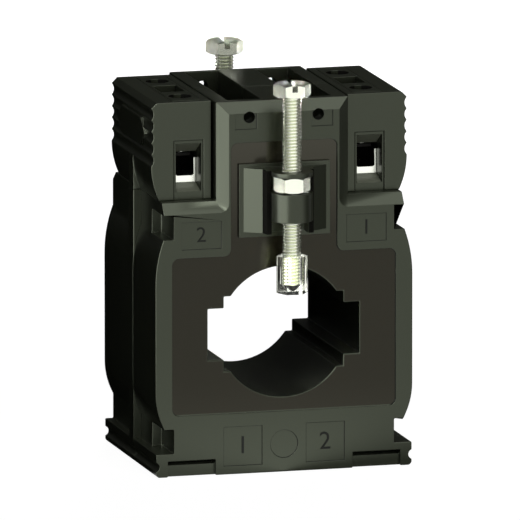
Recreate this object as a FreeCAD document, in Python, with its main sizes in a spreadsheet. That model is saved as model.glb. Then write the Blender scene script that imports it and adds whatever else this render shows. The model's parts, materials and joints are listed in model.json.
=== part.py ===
import FreeCAD, Part
import math
import os
import Sketcher

# A moulded-case current transformer for a round cable or a flat busbar.
# Millimetres. X is the width, -Y the front, +Z up; the origin is the centre of the base.
# The window fixes the design: a tube round it, the winding and core round the tube, and the case
# round them. The case is two shells that meet behind the middle; two terminal blocks stand on its
# shoulders; a screw at the front and one at the back hang in carriers and press a busbar down.

doc = FreeCAD.newDocument("CurrentTransformer")

SIZES = [
    # Window for a 27 mm cable, a 32 x 10 bar or a 25 x 15 bar
    ("window_diameter", 28.0),
    ("wide_bar_slot", 33.0),
    ("wide_bar_thick", 11.0),
    ("thick_bar_slot", 26.0),
    ("thick_bar_thick", 16.0),
    # Core and winding, from the window's tube outwards
    ("tube_wall", 1.2),
    ("winding_gap", 0.3),
    ("winding_build", 0.9),
    ("core_gap", 0.1),
    ("core_build", 4.4),
    ("winding_end_gap", 0.55),
    ("lead_diameter", 1.4),
    ("lead_gap", 0.2),
    ("lead_hole_diameter", 2.0),
    ("lead_y", 6.0),
    # Case
    ("side_wall", 2.4),
    ("foot_wall", 4.4),
    ("shoulder_wall", 2.8),
    ("end_wall", 2.0),
    ("case_depth", 42.0),
    ("base_inset", 0.15),
    ("base_height", 5.0),
    ("base_chamfer", 0.5),
    ("base_groove_z", 2.3),
    ("base_groove_width", 2.0),
    ("base_groove_depth", 0.7),
    ("waist_inset", 1.85),
    ("waist_rise", 5.3),
    ("lower_arc_rise", 7.35),
    ("upper_arc_rise", 10.0),
    ("bulge_end_drop", 7.4),
    ("centre_width", 28.8),
    ("centre_rise", 20.9),
    ("edge_chamfer", 1.9),
    ("edge_chamfer_depth", 2.4),
    ("parting_setback", 2.35),
    ("parting_rib_width", 3.8),
    # Clip notches in the front shell's flanks
    ("clip_reach", 4.0),
    ("clip_height", 5.15),
    ("clip_depth", 9.85),
    ("clip_top_gap", 2.55),
    # Shallow panel round the window, and the marking fields
    ("panel_depth", 0.5),
    ("panel_side_margin", 3.65),
    ("panel_bottom_z", 13.0),
    ("panel_shoulder_drop", 11.7),
    ("panel_neck_margin", 2.85),
    ("panel_top_drop", 8.6),
    ("panel_corner_r", 1.5),
    ("field_depth", 0.3),
    ("plate_field_x", 17.95),
    ("plate_field_drop", 7.05),
    ("plate_field_width", 8.7),
    ("plate_field_height", 5.9),
    ("square_field_x", 8.98),
    ("square_field_z", 5.97),
    ("square_field_size", 8.4),
    ("round_field_diameter", 6.0),
    # Slots in the foot
    ("foot_slot_inset", 7.7),
    ("foot_slot_width", 10.4),
    ("foot_slot_top_z", 3.45),
    ("foot_slot_height", 1.0),
    ("foot_slot_depth", 4.0),
    ("foot_step_depth", 0.9),
    # Pockets and sealing holes in the raised centre
    ("top_pocket_x", 7.7),
    ("top_pocket_width", 7.2),
    ("top_pocket_end_wall", 3.75),
    ("top_pocket_depth", 16.0),
    ("seal_hole_x", 7.5),
    ("seal_hole_diameter", 2.4),
    ("seal_hole_drop", 3.25),
    ("seal_recess_x", 8.3),
    ("seal_recess_width", 4.7),
    ("seal_recess_height", 3.4),
    ("seal_recess_drop", 4.1),
    ("seal_recess_depth", 0.4),
    # Terminal blocks
    ("block_gap", 0.4),
    ("block_setback", 3.95),
    ("block_length", 32.6),
    ("block_top_land", 1.2),
    ("first_crest_rise", 7.45),
    ("grip_depth", 0.5),
    ("grip_grooves", 5.0),
    ("thumb_pad_height", 6.0),
    ("thumb_pad_length", 22.0),
    ("thumb_pad_point", 3.2),
    ("thumb_pad_raise", 0.6),
    # Terminal inserts
    ("insert_inset", 1.62),
    ("insert_width", 6.3),
    ("insert_setback", 0.3),
    ("insert_top_setback", 1.8),
    ("insert_gap", 0.05),
    ("entry_width", 5.4),
    ("entry_rise", 1.7),
    ("entry_height", 10.3),
    ("entry_depth", 2.8),
    ("entry_lintel", 0.6),
    ("tunnel_width", 4.8),
    ("tunnel_rise", 3.2),
    ("tunnel_height", 6.6),
    ("driver_hole_diameter", 4.9),
    ("probe_opening_width", 5.2),
    ("probe_opening_length", 7.6),
    # Metal parts in a terminal
    ("channel_setback", 0.2),
    ("channel_gap", 0.05),
    ("channel_floor", 1.4),
    ("channel_wall", 0.45),
    ("channel_height", 5.2),
    ("channel_inner_r", 0.4),
    ("nut_bar_width", 5.3),
    ("nut_bar_setback", 1.0),
    ("nut_bar_thick", 2.0),
    ("terminal_screw_inset", 2.8),
    ("terminal_screw_diameter", 3.0),
    ("terminal_head_diameter", 4.6),
    ("terminal_head_height", 1.9),
    ("terminal_head_rise", 4.2),
    ("terminal_slot_width", 0.8),
    ("terminal_slot_depth", 0.9),
    ("pressure_pad_width", 3.5),
    ("pressure_pad_length", 3.8),
    ("pressure_pad_thick", 0.7),
    ("pressure_pad_gap", 3.9),
    ("running_gap", 0.05),
    # Screw carriers
    ("carrier_drop", 7.8),
    ("carrier_height", 15.6),
    ("carrier_width", 19.8),
    ("carrier_plate", 0.9),
    ("carrier_rim", 0.9),
    ("wedge_rise", 1.1),
    ("wedge_height", 13.7),
    ("carrier_nose_width", 10.8),
    ("carrier_nose_reach", 2.65),
    ("cheek_width", 10.2),
    ("cheek_reach", 4.75),
    ("cheek_thick", 1.15),
    ("cheek_pocket_depth", 3.6),
    ("collar_radius", 4.4),
    ("collar_rise", 4.3),
    ("collar_bore_play", 0.4),
    ("nut_slot_rise", 10.3),
    ("nut_slot_play", 1.1),
    ("lug_width", 6.0),
    ("lug_height", 4.0),
    ("lug_depth", 2.0),
    ("lug_rise", 8.0),
    # Clamping screws, nuts and caps
    ("screw_reach", 6.05),
    ("screw_turn", 4.5),
    ("screw_diameter", 4.0),
    ("screw_head_rise", 2.0),
    ("screw_head_height", 2.8),
    ("screw_head_across_flats", 7.0),
    ("screw_slot_width", 1.15),
    ("screw_slot_depth", 1.45),
    ("screw_length", 41.3),
    ("nut_across_flats", 6.7),
    ("nut_height", 3.3),
    ("nut_play", 0.1),
    ("cap_floor", 0.55),
    ("cap_height", 7.9),
    ("cap_across_flats", 5.8),
]


class Size:
    """A length that is known as a number and as the expression that binds it to the sheet."""

    def __init__(self, text, value):
        self.text = text
        self.value = value

    def _with(self, sign, other, flipped=False):
        other = as_size(other)
        first, second = (other, self) if flipped else (self, other)
        results = {"+": first.value + second.value, "-": first.value - second.value,
                   "*": first.value * second.value}
        value = first.value / second.value if sign == "/" else results[sign]
        return Size("(%s %s %s)" % (first.text, sign, second.text), value)

    def __add__(self, other):
        return self._with("+", other)

    def __radd__(self, other):
        return self._with("+", other, True)

    def __sub__(self, other):
        return self._with("-", other)

    def __rsub__(self, other):
        return self._with("-", other, True)

    def __mul__(self, other):
        return self._with("*", other)

    def __rmul__(self, other):
        return self._with("*", other, True)

    def __truediv__(self, other):
        return self._with("/", other)

    def __neg__(self):
        return Size("(0 - %s)" % self.text, -self.value)


def as_size(number):
    return number if isinstance(number, Size) else Size(repr(float(number)), float(number))


def root(length):
    return Size("sqrt(%s)" % length.text, math.sqrt(length.value))


def squared(length):
    return length * length


def arc_radius(chord_half, sagitta):
    """Radius of the circle through both ends of a chord and a point sagitta away from it."""
    return (squared(chord_half) + squared(sagitta)) / (2 * sagitta)


# The spreadsheet of driving dimensions, and the lengths that follow from them
sheet = doc.addObject("Spreadsheet::Sheet", "Sizes")
sizes = {}
for row, (alias, number) in enumerate(SIZES, start=1):
    sheet.set("A%d" % row, alias)
    sheet.set("B%d" % row, str(number))
    sheet.setAlias("B%d" % row, alias)
    sizes[alias] = Size("Sizes.%s" % alias, number)
doc.recompute()
derived = doc.addObject("App::VarSet", "Derived")


def size(alias):
    return sizes[alias]


def derive(name, length):
    """Keeps a length that several pieces share under a name of its own."""
    derived.addProperty("App::PropertyFloat", name)
    derived.setExpression(name, length.text)
    return Size("Derived.%s" % name, length.value)


def bind(thing, name, value):
    thing.setExpression(name, as_size(value).text)


# From the window outwards
half_depth = derive("half_depth", size("case_depth") / 2)
slot_corner = root(squared(size("wide_bar_slot") / 2) + squared(size("wide_bar_thick") / 2))
tube_radius = derive("tube_radius", slot_corner + size("tube_wall"))
winding_inner = derive("winding_inner", tube_radius + size("winding_gap"))
winding_stack = size("winding_build") + size("core_gap")
core_inner = derive("core_inner", winding_inner + winding_stack)
core_outer = derive("core_outer", core_inner + size("core_build"))
winding_outer = derive("winding_outer", core_outer + winding_stack)
cavity_radius = derive("cavity_radius", winding_outer + size("winding_gap"))
cavity_end_y = half_depth - size("end_wall")
winding_half = derive("winding_half", cavity_end_y - size("winding_end_gap"))
core_half = derive("core_half", winding_half - winding_stack)
window_z = derive("window_z", cavity_radius + size("foot_wall"))
shoulder_z = derive("shoulder_z", window_z + cavity_radius + size("shoulder_wall"))
case_top = derive("case_top", shoulder_z + size("centre_rise"))

# Half widths and heights of the case
bulge_x = derive("bulge_x", cavity_radius + size("side_wall"))
base_x = derive("base_x", bulge_x - size("base_inset"))
waist_x = derive("waist_x", bulge_x - size("waist_inset"))
centre_x = derive("centre_x", size("centre_width") / 2)
bulge_start_z = size("base_height") + size("waist_rise")
bulge_low_z = bulge_start_z + size("lower_arc_rise")
bulge_end_z = shoulder_z - size("bulge_end_drop")
bulge_high_z = bulge_end_z - size("upper_arc_rise")
lower_arc_radius = arc_radius(size("lower_arc_rise"), size("waist_inset"))
upper_arc_radius = arc_radius(size("upper_arc_rise"), size("waist_inset"))
parting_y = -size("parting_setback")
panel_y = derive("panel_y", half_depth - size("panel_depth"))

# Terminals
block_inner_x = derive("block_inner_x", centre_x + size("block_gap"))
block_half = derive("block_half", size("block_length") / 2)
terminal_y = derive("terminal_y", size("block_setback") + block_half - half_depth)
insert_x = derive("insert_x", (block_inner_x + base_x) / 2 - size("insert_inset"))
insert_half = derive("insert_half", block_half - size("insert_setback"))
entry_bottom_z = derive("entry_bottom_z", shoulder_z + size("entry_rise"))
entry_top_z = derive("entry_top_z", entry_bottom_z + size("entry_height"))
insert_shoulder_z = derive("insert_shoulder_z", entry_top_z + size("entry_lintel"))
tunnel_floor_z = derive("tunnel_floor_z", shoulder_z + size("tunnel_rise"))
tunnel_top_z = derive("tunnel_top_z", tunnel_floor_z + size("tunnel_height"))
bar_top_z = derive("bar_top_z", tunnel_top_z + size("nut_bar_thick"))
channel_half = derive("channel_half", insert_half - size("entry_depth") - size("channel_setback"))
nut_bar_half = derive("nut_bar_half", channel_half - size("nut_bar_setback"))
terminal_screw_y = derive("terminal_screw_y", nut_bar_half - size("terminal_screw_inset"))
pad_bottom_z = derive("pad_bottom_z", tunnel_floor_z + size("channel_floor") + size("pressure_pad_gap"))
pad_top_z = derive("pad_top_z", pad_bottom_z + size("pressure_pad_thick"))

# Clamping screws
screw_y = derive("screw_y", half_depth + size("screw_reach"))
screw_head_z = derive("screw_head_z", case_top + size("screw_head_rise"))
screw_tip_z = derive("screw_tip_z", screw_head_z - size("screw_length"))
carrier_bottom_z = derive("carrier_bottom_z", shoulder_z - size("carrier_drop"))
nut_slot_z = derive("nut_slot_z", carrier_bottom_z + size("nut_slot_rise"))
nut_slot_height = size("nut_height") + 2 * size("nut_play")


def new_body(label):
    body = doc.addObject("PartDesign::Body", "Body_" + label)
    body.Label = label
    return body


def new_sketch(body, name, role, offset=0.0):
    """A sketch on one of the body's own origin planes, moved along the plane's normal."""
    plane = next(item for item in body.Origin.OriginFeatures if item.Role == role)
    sketch = body.newObject("Sketcher::SketchObject", name)
    sketch.AttachmentSupport = [(plane, "")]
    sketch.MapMode = "FlatFace"
    bind(sketch, "AttachmentOffset.Base.z", offset)
    return sketch


def front_sketch(body, name, y):
    """A sketch in X and Z that lies at a given Y; its normal points to the front."""
    return new_sketch(body, name, "XZ_Plane", -as_size(y))


def level_sketch(body, name, z):
    return new_sketch(body, name, "XY_Plane", z)


def hold_point(sketch, geometry, point, x, y):
    """Ties a sketch point to the origin by two bound distances."""
    for kind, axis, value in (("DistanceX", -2, x), ("DistanceY", -1, y)):
        if isinstance(value, Size):
            index = sketch.addConstraint(Sketcher.Constraint(kind, -1, 1, geometry, point, value.value))
            sketch.setExpression("Constraints[%d]" % index, value.text)
        else:
            sketch.addConstraint(Sketcher.Constraint("PointOnObject", geometry, point, axis))


def circle(sketch, x, y, radius):
    centre = FreeCAD.Vector(as_size(x).value, as_size(y).value, 0)
    geometry = sketch.addGeometry(Part.Circle(centre, FreeCAD.Vector(0, 0, 1), as_size(radius).value))
    hold_point(sketch, geometry, 3, x, y)
    index = sketch.addConstraint(Sketcher.Constraint("Radius", geometry, as_size(radius).value))
    sketch.setExpression("Constraints[%d]" % index, as_size(radius).text)


def outline(sketch, corners, bends=None):
    """A closed outline. A corner is (x, y) or (x, y, fillet); at a fillet both edges lie along the
    axes. bends maps a corner's number to (radius, turn) for an arc from it to the next corner,
    turn +1 for left."""
    bends = bends or {}
    points = [(as_size(c[0]), as_size(c[1]), c[2] if len(c) > 2 else None) for c in corners]
    count = len(points)

    def toward(here, there):
        dx = there[0].value - here[0].value
        dy = there[1].value - here[1].value
        return (math.copysign(1, dx), 0) if abs(dx) > abs(dy) else (0, math.copysign(1, dy))

    edges = []
    for i, point in enumerate(points):
        following = points[(i + 1) % count]
        start, end = point, following
        if point[2] is not None:
            back = toward(point, points[i - 1])
            ahead = toward(point, following)
            first = (point[0] + back[0] * point[2], point[1] + back[1] * point[2])
            start = (point[0] + ahead[0] * point[2], point[1] + ahead[1] * point[2])
            turn = back[1] * ahead[0] - back[0] * ahead[1]
            edges.append((first, start, point[2], turn))
        if following[2] is not None:
            back = toward(following, point)
            end = (following[0] + back[0] * following[2], following[1] + back[1] * following[2])
        radius, turn = bends.get(i, (None, 0))
        edges.append((start, end, radius, turn))

    numbers = []
    for start, end, radius, turn in edges:
        a = FreeCAD.Vector(start[0].value, start[1].value, 0)
        b = FreeCAD.Vector(end[0].value, end[1].value, 0)
        if radius is None:
            numbers.append((sketch.addGeometry(Part.LineSegment(a, b)), 1, 2))
            continue
        chord = b - a
        left = FreeCAD.Vector(-chord.y, chord.x, 0).normalize()
        apart = math.sqrt(max(radius.value ** 2 - (chord.Length / 2) ** 2, 0))
        centre = (a + b) * 0.5 + left * (apart * turn)
        whole = Part.Circle(centre, FreeCAD.Vector(0, 0, 1), radius.value)
        low, high = (a, b) if turn > 0 else (b, a)
        first = math.atan2(low.y - centre.y, low.x - centre.x)
        last = math.atan2(high.y - centre.y, high.x - centre.x)
        last += 2 * math.pi if last < first else 0
        geometry = sketch.addGeometry(Part.ArcOfCircle(whole, first, last))
        numbers.append((geometry, 1, 2) if turn > 0 else (geometry, 2, 1))
        index = sketch.addConstraint(Sketcher.Constraint("Radius", geometry, radius.value))
        sketch.setExpression("Constraints[%d]" % index, radius.text)
    for i, (geometry, begin, finish) in enumerate(numbers):
        after = numbers[(i + 1) % len(numbers)]
        sketch.addConstraint(Sketcher.Constraint("Coincident", geometry, finish, after[0], after[1]))
        hold_point(sketch, geometry, begin, edges[i][0][0], edges[i][0][1])


def rectangle(sketch, x_low, x_high, y_low, y_high):
    outline(sketch, [(x_low, y_low), (x_high, y_low), (x_high, y_high), (x_low, y_high)])


def pad(body, sketch, name, length, backward=False, both_ways=False):
    feature = body.newObject("PartDesign::Pad", name)
    feature.Profile = sketch
    feature.Reversed = backward
    feature.Midplane = both_ways
    bind(feature, "Length", length)
    return feature


def pocket(body, sketch, name, depth, backward=False, both_ways=False):
    """A pocket goes in against the sketch's normal, or along it if backward."""
    feature = body.newObject("PartDesign::Pocket", name)
    feature.Profile = sketch
    feature.Reversed = backward
    feature.Midplane = both_ways
    bind(feature, "Length", depth)
    return feature


def solid(kind, name, **values):
    thing = doc.addObject(kind, name)
    for key, value in values.items():
        bind(thing, key, value)
    return thing


def move(thing, x=0.0, y=0.0, z=0.0):
    for key, value in (("x", x), ("y", y), ("z", z)):
        bind(thing, "Placement.Base." + key, value)
    return thing


def turn_about_z(thing, degrees):
    thing.Placement.Rotation = FreeCAD.Rotation(FreeCAD.Vector(0, 0, 1), 0)
    bind(thing, "Placement.Rotation.Angle", degrees)
    return thing


def joined(kind, name, base, tool):
    thing = doc.addObject(kind, name)
    thing.Base = base
    thing.Tool = tool
    return thing


def fused(name, parts):
    thing = doc.addObject("Part::MultiFuse", name)
    thing.Shapes = parts
    return thing


def case_outline(sketch):
    """The case seen from the front: grooved foot, waist, bulge, shoulder and raised centre."""
    right = [
        (base_x - size("base_chamfer"), 0),
        (base_x, size("base_chamfer")),
        (base_x, size("base_groove_z") - size("base_groove_width") / 2),
        (base_x, size("base_groove_z") + size("base_groove_width") / 2),
        (base_x, size("base_height")),
        (waist_x, size("base_height")),
        (waist_x, bulge_start_z),
        (bulge_x, bulge_low_z),
        (bulge_x, bulge_high_z),
        (waist_x, bulge_end_z),
        (waist_x, shoulder_z),
        (centre_x, shoulder_z),
        (centre_x, case_top),
    ]
    left = [(-x, z) for x, z in reversed(right)]
    groove_radius = arc_radius(size("base_groove_width") / 2, size("base_groove_depth"))
    last = len(right) + len(left) - 1
    bends = {}
    arcs = ((2, groove_radius, -1), (6, lower_arc_radius, 1), (8, upper_arc_radius, 1))
    for start, radius, turn in arcs:
        bends[start] = (radius, turn)
        bends[last - start - 1] = (radius, turn)
    outline(sketch, right + left, bends)


def end_edges(feature, y, lowest):
    """Names of the outline's edges in the plane at y whose middles lie above a height."""
    touching = 0.01
    names = []
    for number, edge in enumerate(feature.Shape.Edges, start=1):
        box = edge.BoundBox
        flat = abs(box.YMin - y) < touching and abs(box.YMax - y) < touching
        if flat and edge.CenterOfMass.z > lowest:
            names.append("Edge%d" % number)
    return names


def edge_bevel(body, feature, facing):
    """The broad bevel round the raised centre and the shoulders."""
    doc.recompute()
    lowest = shoulder_z.value - size("edge_chamfer").value
    bevel = body.newObject("PartDesign::Chamfer", "edge_bevel")
    bevel.Base = (feature, end_edges(feature, half_depth.value * facing, lowest))
    bevel.ChamferType = "Two distances"
    bevel.FlipDirection = facing > 0
    bind(bevel, "Size", size("edge_chamfer"))
    bind(bevel, "Size2", size("edge_chamfer_depth"))


def panel_outline(sketch):
    """The shallow panel: wide round the window, with a neck that runs up behind the carrier."""
    corner = size("panel_corner_r")
    wide = bulge_x - size("panel_side_margin")
    neck = centre_x - size("panel_neck_margin")
    neck_start_z = shoulder_z - size("panel_shoulder_drop")
    right = [
        (wide, size("panel_bottom_z"), corner),
        (wide, neck_start_z, corner),
        (neck, neck_start_z, corner),
        (neck, case_top - size("panel_top_drop"), corner),
    ]
    left = [(-x, z, r) for x, z, r in reversed(right)]
    outline(sketch, right + left)


def sided_rectangles(sketch, x, width, low, high):
    """The same rectangle to the left and to the right of the middle."""
    for middle in (-x, x):
        rectangle(sketch, middle - width / 2, middle + width / 2, low, high)


def window_round(sketch):
    circle(sketch, 0, window_z, size("window_diameter") / 2)


def wide_bar_way(sketch):
    half_x = size("wide_bar_slot") / 2
    half_z = size("wide_bar_thick") / 2
    rectangle(sketch, -half_x, half_x, window_z - half_z, window_z + half_z)


def thick_bar_way(sketch):
    half_x = size("thick_bar_slot") / 2
    half_z = size("thick_bar_thick") / 2
    rectangle(sketch, -half_x, half_x, window_z - half_z, window_z + half_z)


def seal_holes(sketch):
    for x in (-size("seal_hole_x"), size("seal_hole_x")):
        circle(sketch, x, case_top - size("seal_hole_drop"), size("seal_hole_diameter") / 2)


def seal_recesses(sketch):
    middle = case_top - size("seal_recess_drop")
    half = size("seal_recess_height") / 2
    sided_rectangles(sketch, size("seal_recess_x"), size("seal_recess_width"), middle - half, middle + half)


def plate_fields(sketch):
    middle = shoulder_z - size("plate_field_drop")
    half = size("plate_field_height") / 2
    sided_rectangles(sketch, size("plate_field_x"), size("plate_field_width"), middle - half, middle + half)


def foot_fields(sketch):
    middle = size("square_field_z")
    half = size("square_field_size") / 2
    sided_rectangles(sketch, size("square_field_x"), size("square_field_size"), middle - half, middle + half)
    circle(sketch, 0, middle, size("round_field_diameter") / 2)


def foot_steps(sketch):
    sided_rectangles(sketch, base_x - size("foot_slot_inset"), size("foot_slot_width"),
                     -size("base_chamfer"), size("foot_slot_top_z"))


def foot_slots(sketch):
    top = size("foot_slot_top_z")
    sided_rectangles(sketch, base_x - size("foot_slot_inset"), size("foot_slot_width"),
                     top - size("foot_slot_height"), top)


def carrier_slot(sketch):
    half_x = size("lug_width") / 2 + size("running_gap")
    half_z = size("lug_height") / 2 + size("running_gap")
    middle = carrier_bottom_z + size("lug_rise")
    rectangle(sketch, -half_x, half_x, middle - half_z, middle + half_z)


def clip_notches(sketch):
    inner = bulge_x - size("clip_reach")
    outer = bulge_x + size("side_wall")
    high = shoulder_z - size("clip_top_gap")
    for low, top in ((size("base_height"), size("base_height") + size("clip_height")),
                     (high - size("clip_height"), high)):
        rectangle(sketch, inner, outer, low, top)
        rectangle(sketch, -outer, -inner, low, top)


def shell(label, facing):
    """One shell of the case. Facing is -1 for the front one and +1 for the rear one."""
    body = new_body(label)
    rear = facing > 0
    face_y = half_depth * facing
    reach = half_depth - parting_y * facing
    sketch = front_sketch(body, "case_outline", parting_y)
    case_outline(sketch)
    mass = pad(body, sketch, "case_mass", reach, backward=rear)
    edge_bevel(body, mass, facing)

    if rear:
        sketch = front_sketch(body, "parting_rib_outline", parting_y)
        rectangle(sketch, -base_x, base_x, size("base_height"), shoulder_z)
        pad(body, sketch, "parting_rib", size("parting_rib_width"), backward=True)

    sketch = front_sketch(body, "cavity_outline", parting_y)
    circle(sketch, 0, window_z, cavity_radius)
    circle(sketch, 0, window_z, tube_radius)
    pocket(body, sketch, "cavity", reach - size("end_wall"), backward=not rear)

    cuts = [(window_round, size("case_depth")), (wide_bar_way, size("case_depth")),
            (thick_bar_way, size("case_depth")), (seal_holes, size("case_depth")),
            (seal_recesses, size("seal_recess_depth")), (panel_outline, size("panel_depth")),
            (plate_fields, size("field_depth")), (foot_fields, size("field_depth")),
            (foot_steps, size("foot_step_depth")), (foot_slots, size("foot_slot_depth"))]
    if not rear:
        cuts.append((clip_notches, size("clip_depth")))
    for draw, depth in cuts:
        sketch = front_sketch(body, draw.__name__ + "_sketch", face_y)
        draw(sketch)
        pocket(body, sketch, draw.__name__, depth, backward=rear)
    sketch = front_sketch(body, "carrier_slot_sketch", panel_y * facing)
    carrier_slot(sketch)
    pocket(body, sketch, "carrier_slot", size("lug_depth") + size("running_gap"), backward=rear)

    sketch = level_sketch(body, "top_pocket_outline", case_top)
    pocket_end = half_depth - size("top_pocket_end_wall")
    sided_rectangles(sketch, size("top_pocket_x"), size("top_pocket_width"), -pocket_end, pocket_end)
    pocket(body, sketch, "top_pockets", size("top_pocket_depth"))

    if rear:
        sketch = level_sketch(body, "lead_hole_outline", shoulder_z)
        for x in (-insert_x, insert_x):
            circle(sketch, x, terminal_y + size("lead_y"), size("lead_hole_diameter") / 2)
        pocket(body, sketch, "lead_holes", shoulder_z - window_z)
    return body


def ring(name, inner, outer, half_length):
    """A plain ring round the window's axis, half of it before the middle and half behind."""
    discs = []
    for part_name, radius in (("outer", outer), ("inner", inner)):
        disc = solid("Part::Cylinder", "%s_%s" % (name, part_name), Radius=radius, Height=2 * half_length)
        disc.Placement = FreeCAD.Placement(FreeCAD.Vector(), FreeCAD.Rotation(FreeCAD.Vector(1, 0, 0), -90))
        discs.append(move(disc, 0, -half_length, window_z))
    return joined("Part::Cut", name, discs[0], discs[1])


def core():
    wound_strip = ring("core", core_inner, core_outer, core_half)
    wound_strip.Label = "ring_core"
    return wound_strip


def winding():
    """The secondary winding: all its turns as one skin round the core."""
    skin = ring("winding_skin", winding_inner, winding_outer, winding_half)
    gap = size("core_gap")
    room = ring("winding_room", core_inner - gap, core_outer + gap, core_half + gap)
    whole = joined("Part::Cut", "winding", skin, room)
    whole.Label = "secondary_winding"
    return whole


def lead(label, side):
    """A lead from the winding's outside up through the shell into the terminal's floor."""
    radius = size("lead_diameter") / 2
    start_z = window_z + root(squared(winding_outer) - squared(insert_x - radius)) + size("lead_gap")
    wire = solid("Part::Cylinder", "wire_" + label, Radius=radius, Height=tunnel_floor_z - start_z)
    wire.Label = label
    return move(wire, insert_x * side, terminal_y + size("lead_y"), start_z)


def terminal_block(label, side):
    """A terminal block: grooved grip on its outer flank, open from below for its insert."""
    body = new_body(label)
    grooves = int(size("grip_grooves").value)
    first_crest_z = shoulder_z + size("first_crest_rise")
    last_crest_z = case_top - size("block_top_land")
    pitch = (last_crest_z - first_crest_z) / size("grip_grooves")
    corners = [(block_inner_x, shoulder_z), (waist_x, shoulder_z)]
    bends = {1: (arc_radius(size("first_crest_rise"), base_x - waist_x), 1)}
    for number in range(grooves + 1):
        corners.append((base_x, first_crest_z + number * pitch))
        if number < grooves:
            bends[len(corners) - 1] = (arc_radius(pitch / 2, size("grip_depth")), -1)
    corners.append((base_x - size("block_top_land"), case_top))
    corners.append((block_inner_x, case_top))
    if side < 0:
        count = len(corners)
        bends = {count - 2 - start: bend for start, bend in bends.items()}
        corners = [(-x, z) for x, z in reversed(corners)]
    sketch = front_sketch(body, "block_outline", 0.0)
    outline(sketch, corners, bends)
    pad(body, sketch, "block_mass", 2 * block_half, both_ways=True)

    rib_ends = sorted((waist_x * side, base_x * side), key=lambda x: x.value)
    sketch = front_sketch(body, "parting_rib_outline", parting_y - terminal_y)
    rectangle(sketch, rib_ends[0], rib_ends[1], shoulder_z, first_crest_z)
    pad(body, sketch, "parting_rib", size("parting_rib_width"), backward=True)

    # The raised thumb pad, pointed at both ends
    sketch = new_sketch(body, "thumb_pad_outline", "YZ_Plane", (base_x - 2 * size("grip_depth")) * side)
    end_y = size("thumb_pad_length") / 2
    square_y = end_y - size("thumb_pad_point")
    middle_z = (first_crest_z + last_crest_z) / 2
    low = middle_z - size("thumb_pad_height") / 2
    high = middle_z + size("thumb_pad_height") / 2
    outline(sketch, [(-square_y, low), (square_y, low), (end_y, middle_z),
                     (square_y, high), (-square_y, high), (-end_y, middle_z)])
    pad(body, sketch, "thumb_pad", size("grip_depth") + size("thumb_pad_raise"), backward=side < 0)

    # The room for the insert
    half_width = size("insert_width") / 2 + size("insert_gap")
    middle = insert_x * side
    sketch = front_sketch(body, "insert_way_outline", -block_half)
    rectangle(sketch, middle - half_width, middle + half_width, shoulder_z,
              insert_shoulder_z + size("insert_gap"))
    pocket(body, sketch, "insert_way", 2 * block_half)
    sketch = level_sketch(body, "insert_top_outline", case_top)
    upper = block_half - size("insert_top_setback") + size("insert_gap")
    rectangle(sketch, middle - half_width, middle + half_width, -upper, upper)
    pocket(body, sketch, "insert_top_way", case_top - shoulder_z)
    return move(body, 0, terminal_y)


def wire_funnel(body, name, middle, facing):
    """The tapered mouth that leads a wire into the tunnel."""
    mouth = {"Min": middle - size("entry_width") / 2, "Max": middle + size("entry_width") / 2}
    throat = {"Min": middle - size("tunnel_width") / 2, "Max": middle + size("tunnel_width") / 2}
    mouth_z = {"Min": entry_bottom_z, "Max": entry_top_z}
    throat_z = {"Min": tunnel_floor_z, "Max": tunnel_top_z}
    near, far = (mouth, throat) if facing < 0 else (throat, mouth)
    near_z, far_z = (mouth_z, throat_z) if facing < 0 else (throat_z, mouth_z)
    ends = sorted((insert_half * facing, (insert_half - size("entry_depth")) * facing), key=lambda y: y.value)
    funnel = body.newObject("PartDesign::SubtractiveWedge", name)
    for end in ("Min", "Max"):
        bind(funnel, "X" + end.lower(), near[end])
        bind(funnel, "Z" + end.lower(), near_z[end])
        bind(funnel, "X2" + end.lower(), far[end])
        bind(funnel, "Z2" + end.lower(), far_z[end])
    bind(funnel, "Ymin", ends[0])
    bind(funnel, "Ymax", ends[1])


def terminal_insert(label, side):
    """The insert holds the metal parts: a tunnel for the wire, funnels at both ends, driver holes
    and a probe opening in the top."""
    body = new_body(label)
    middle = insert_x * side
    half_width = size("insert_width") / 2

    sketch = front_sketch(body, "lower_outline", 0.0)
    rectangle(sketch, middle - half_width, middle + half_width, shoulder_z, insert_shoulder_z)
    pad(body, sketch, "lower_mass", 2 * insert_half, both_ways=True)
    sketch = level_sketch(body, "upper_outline", shoulder_z)
    upper = block_half - size("insert_top_setback")
    rectangle(sketch, middle - half_width, middle + half_width, -upper, upper)
    pad(body, sketch, "upper_mass", case_top - shoulder_z)

    half_tunnel = size("tunnel_width") / 2
    sketch = front_sketch(body, "tunnel_outline", 0.0)
    rectangle(sketch, middle - half_tunnel, middle + half_tunnel, tunnel_floor_z, tunnel_top_z)
    pocket(body, sketch, "tunnel", 2 * block_half, both_ways=True)
    wire_funnel(body, "front_entry", middle, -1)
    wire_funnel(body, "rear_entry", middle, 1)

    bar_half = size("nut_bar_width") / 2 + size("insert_gap")
    bar_end = nut_bar_half + size("insert_gap")
    sketch = front_sketch(body, "nut_bar_slot_outline", 0.0)
    rectangle(sketch, middle - bar_half, middle + bar_half, tunnel_top_z, bar_top_z)
    pocket(body, sketch, "nut_bar_slot", 2 * bar_end, both_ways=True)

    sketch = level_sketch(body, "top_openings_outline", case_top)
    for y in (-terminal_screw_y, terminal_screw_y):
        circle(sketch, middle, y, size("driver_hole_diameter") / 2)
    half_probe = size("probe_opening_width") / 2
    half_length = size("probe_opening_length") / 2
    rectangle(sketch, middle - half_probe, middle + half_probe, -half_length, half_length)
    pocket(body, sketch, "top_openings", case_top - bar_top_z)

    sketch = level_sketch(body, "lead_hole_outline", shoulder_z)
    circle(sketch, middle, size("lead_y"), size("lead_hole_diameter") / 2)
    pocket(body, sketch, "lead_hole", tunnel_floor_z - shoulder_z, backward=True)
    return move(body, 0, terminal_y)


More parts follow.
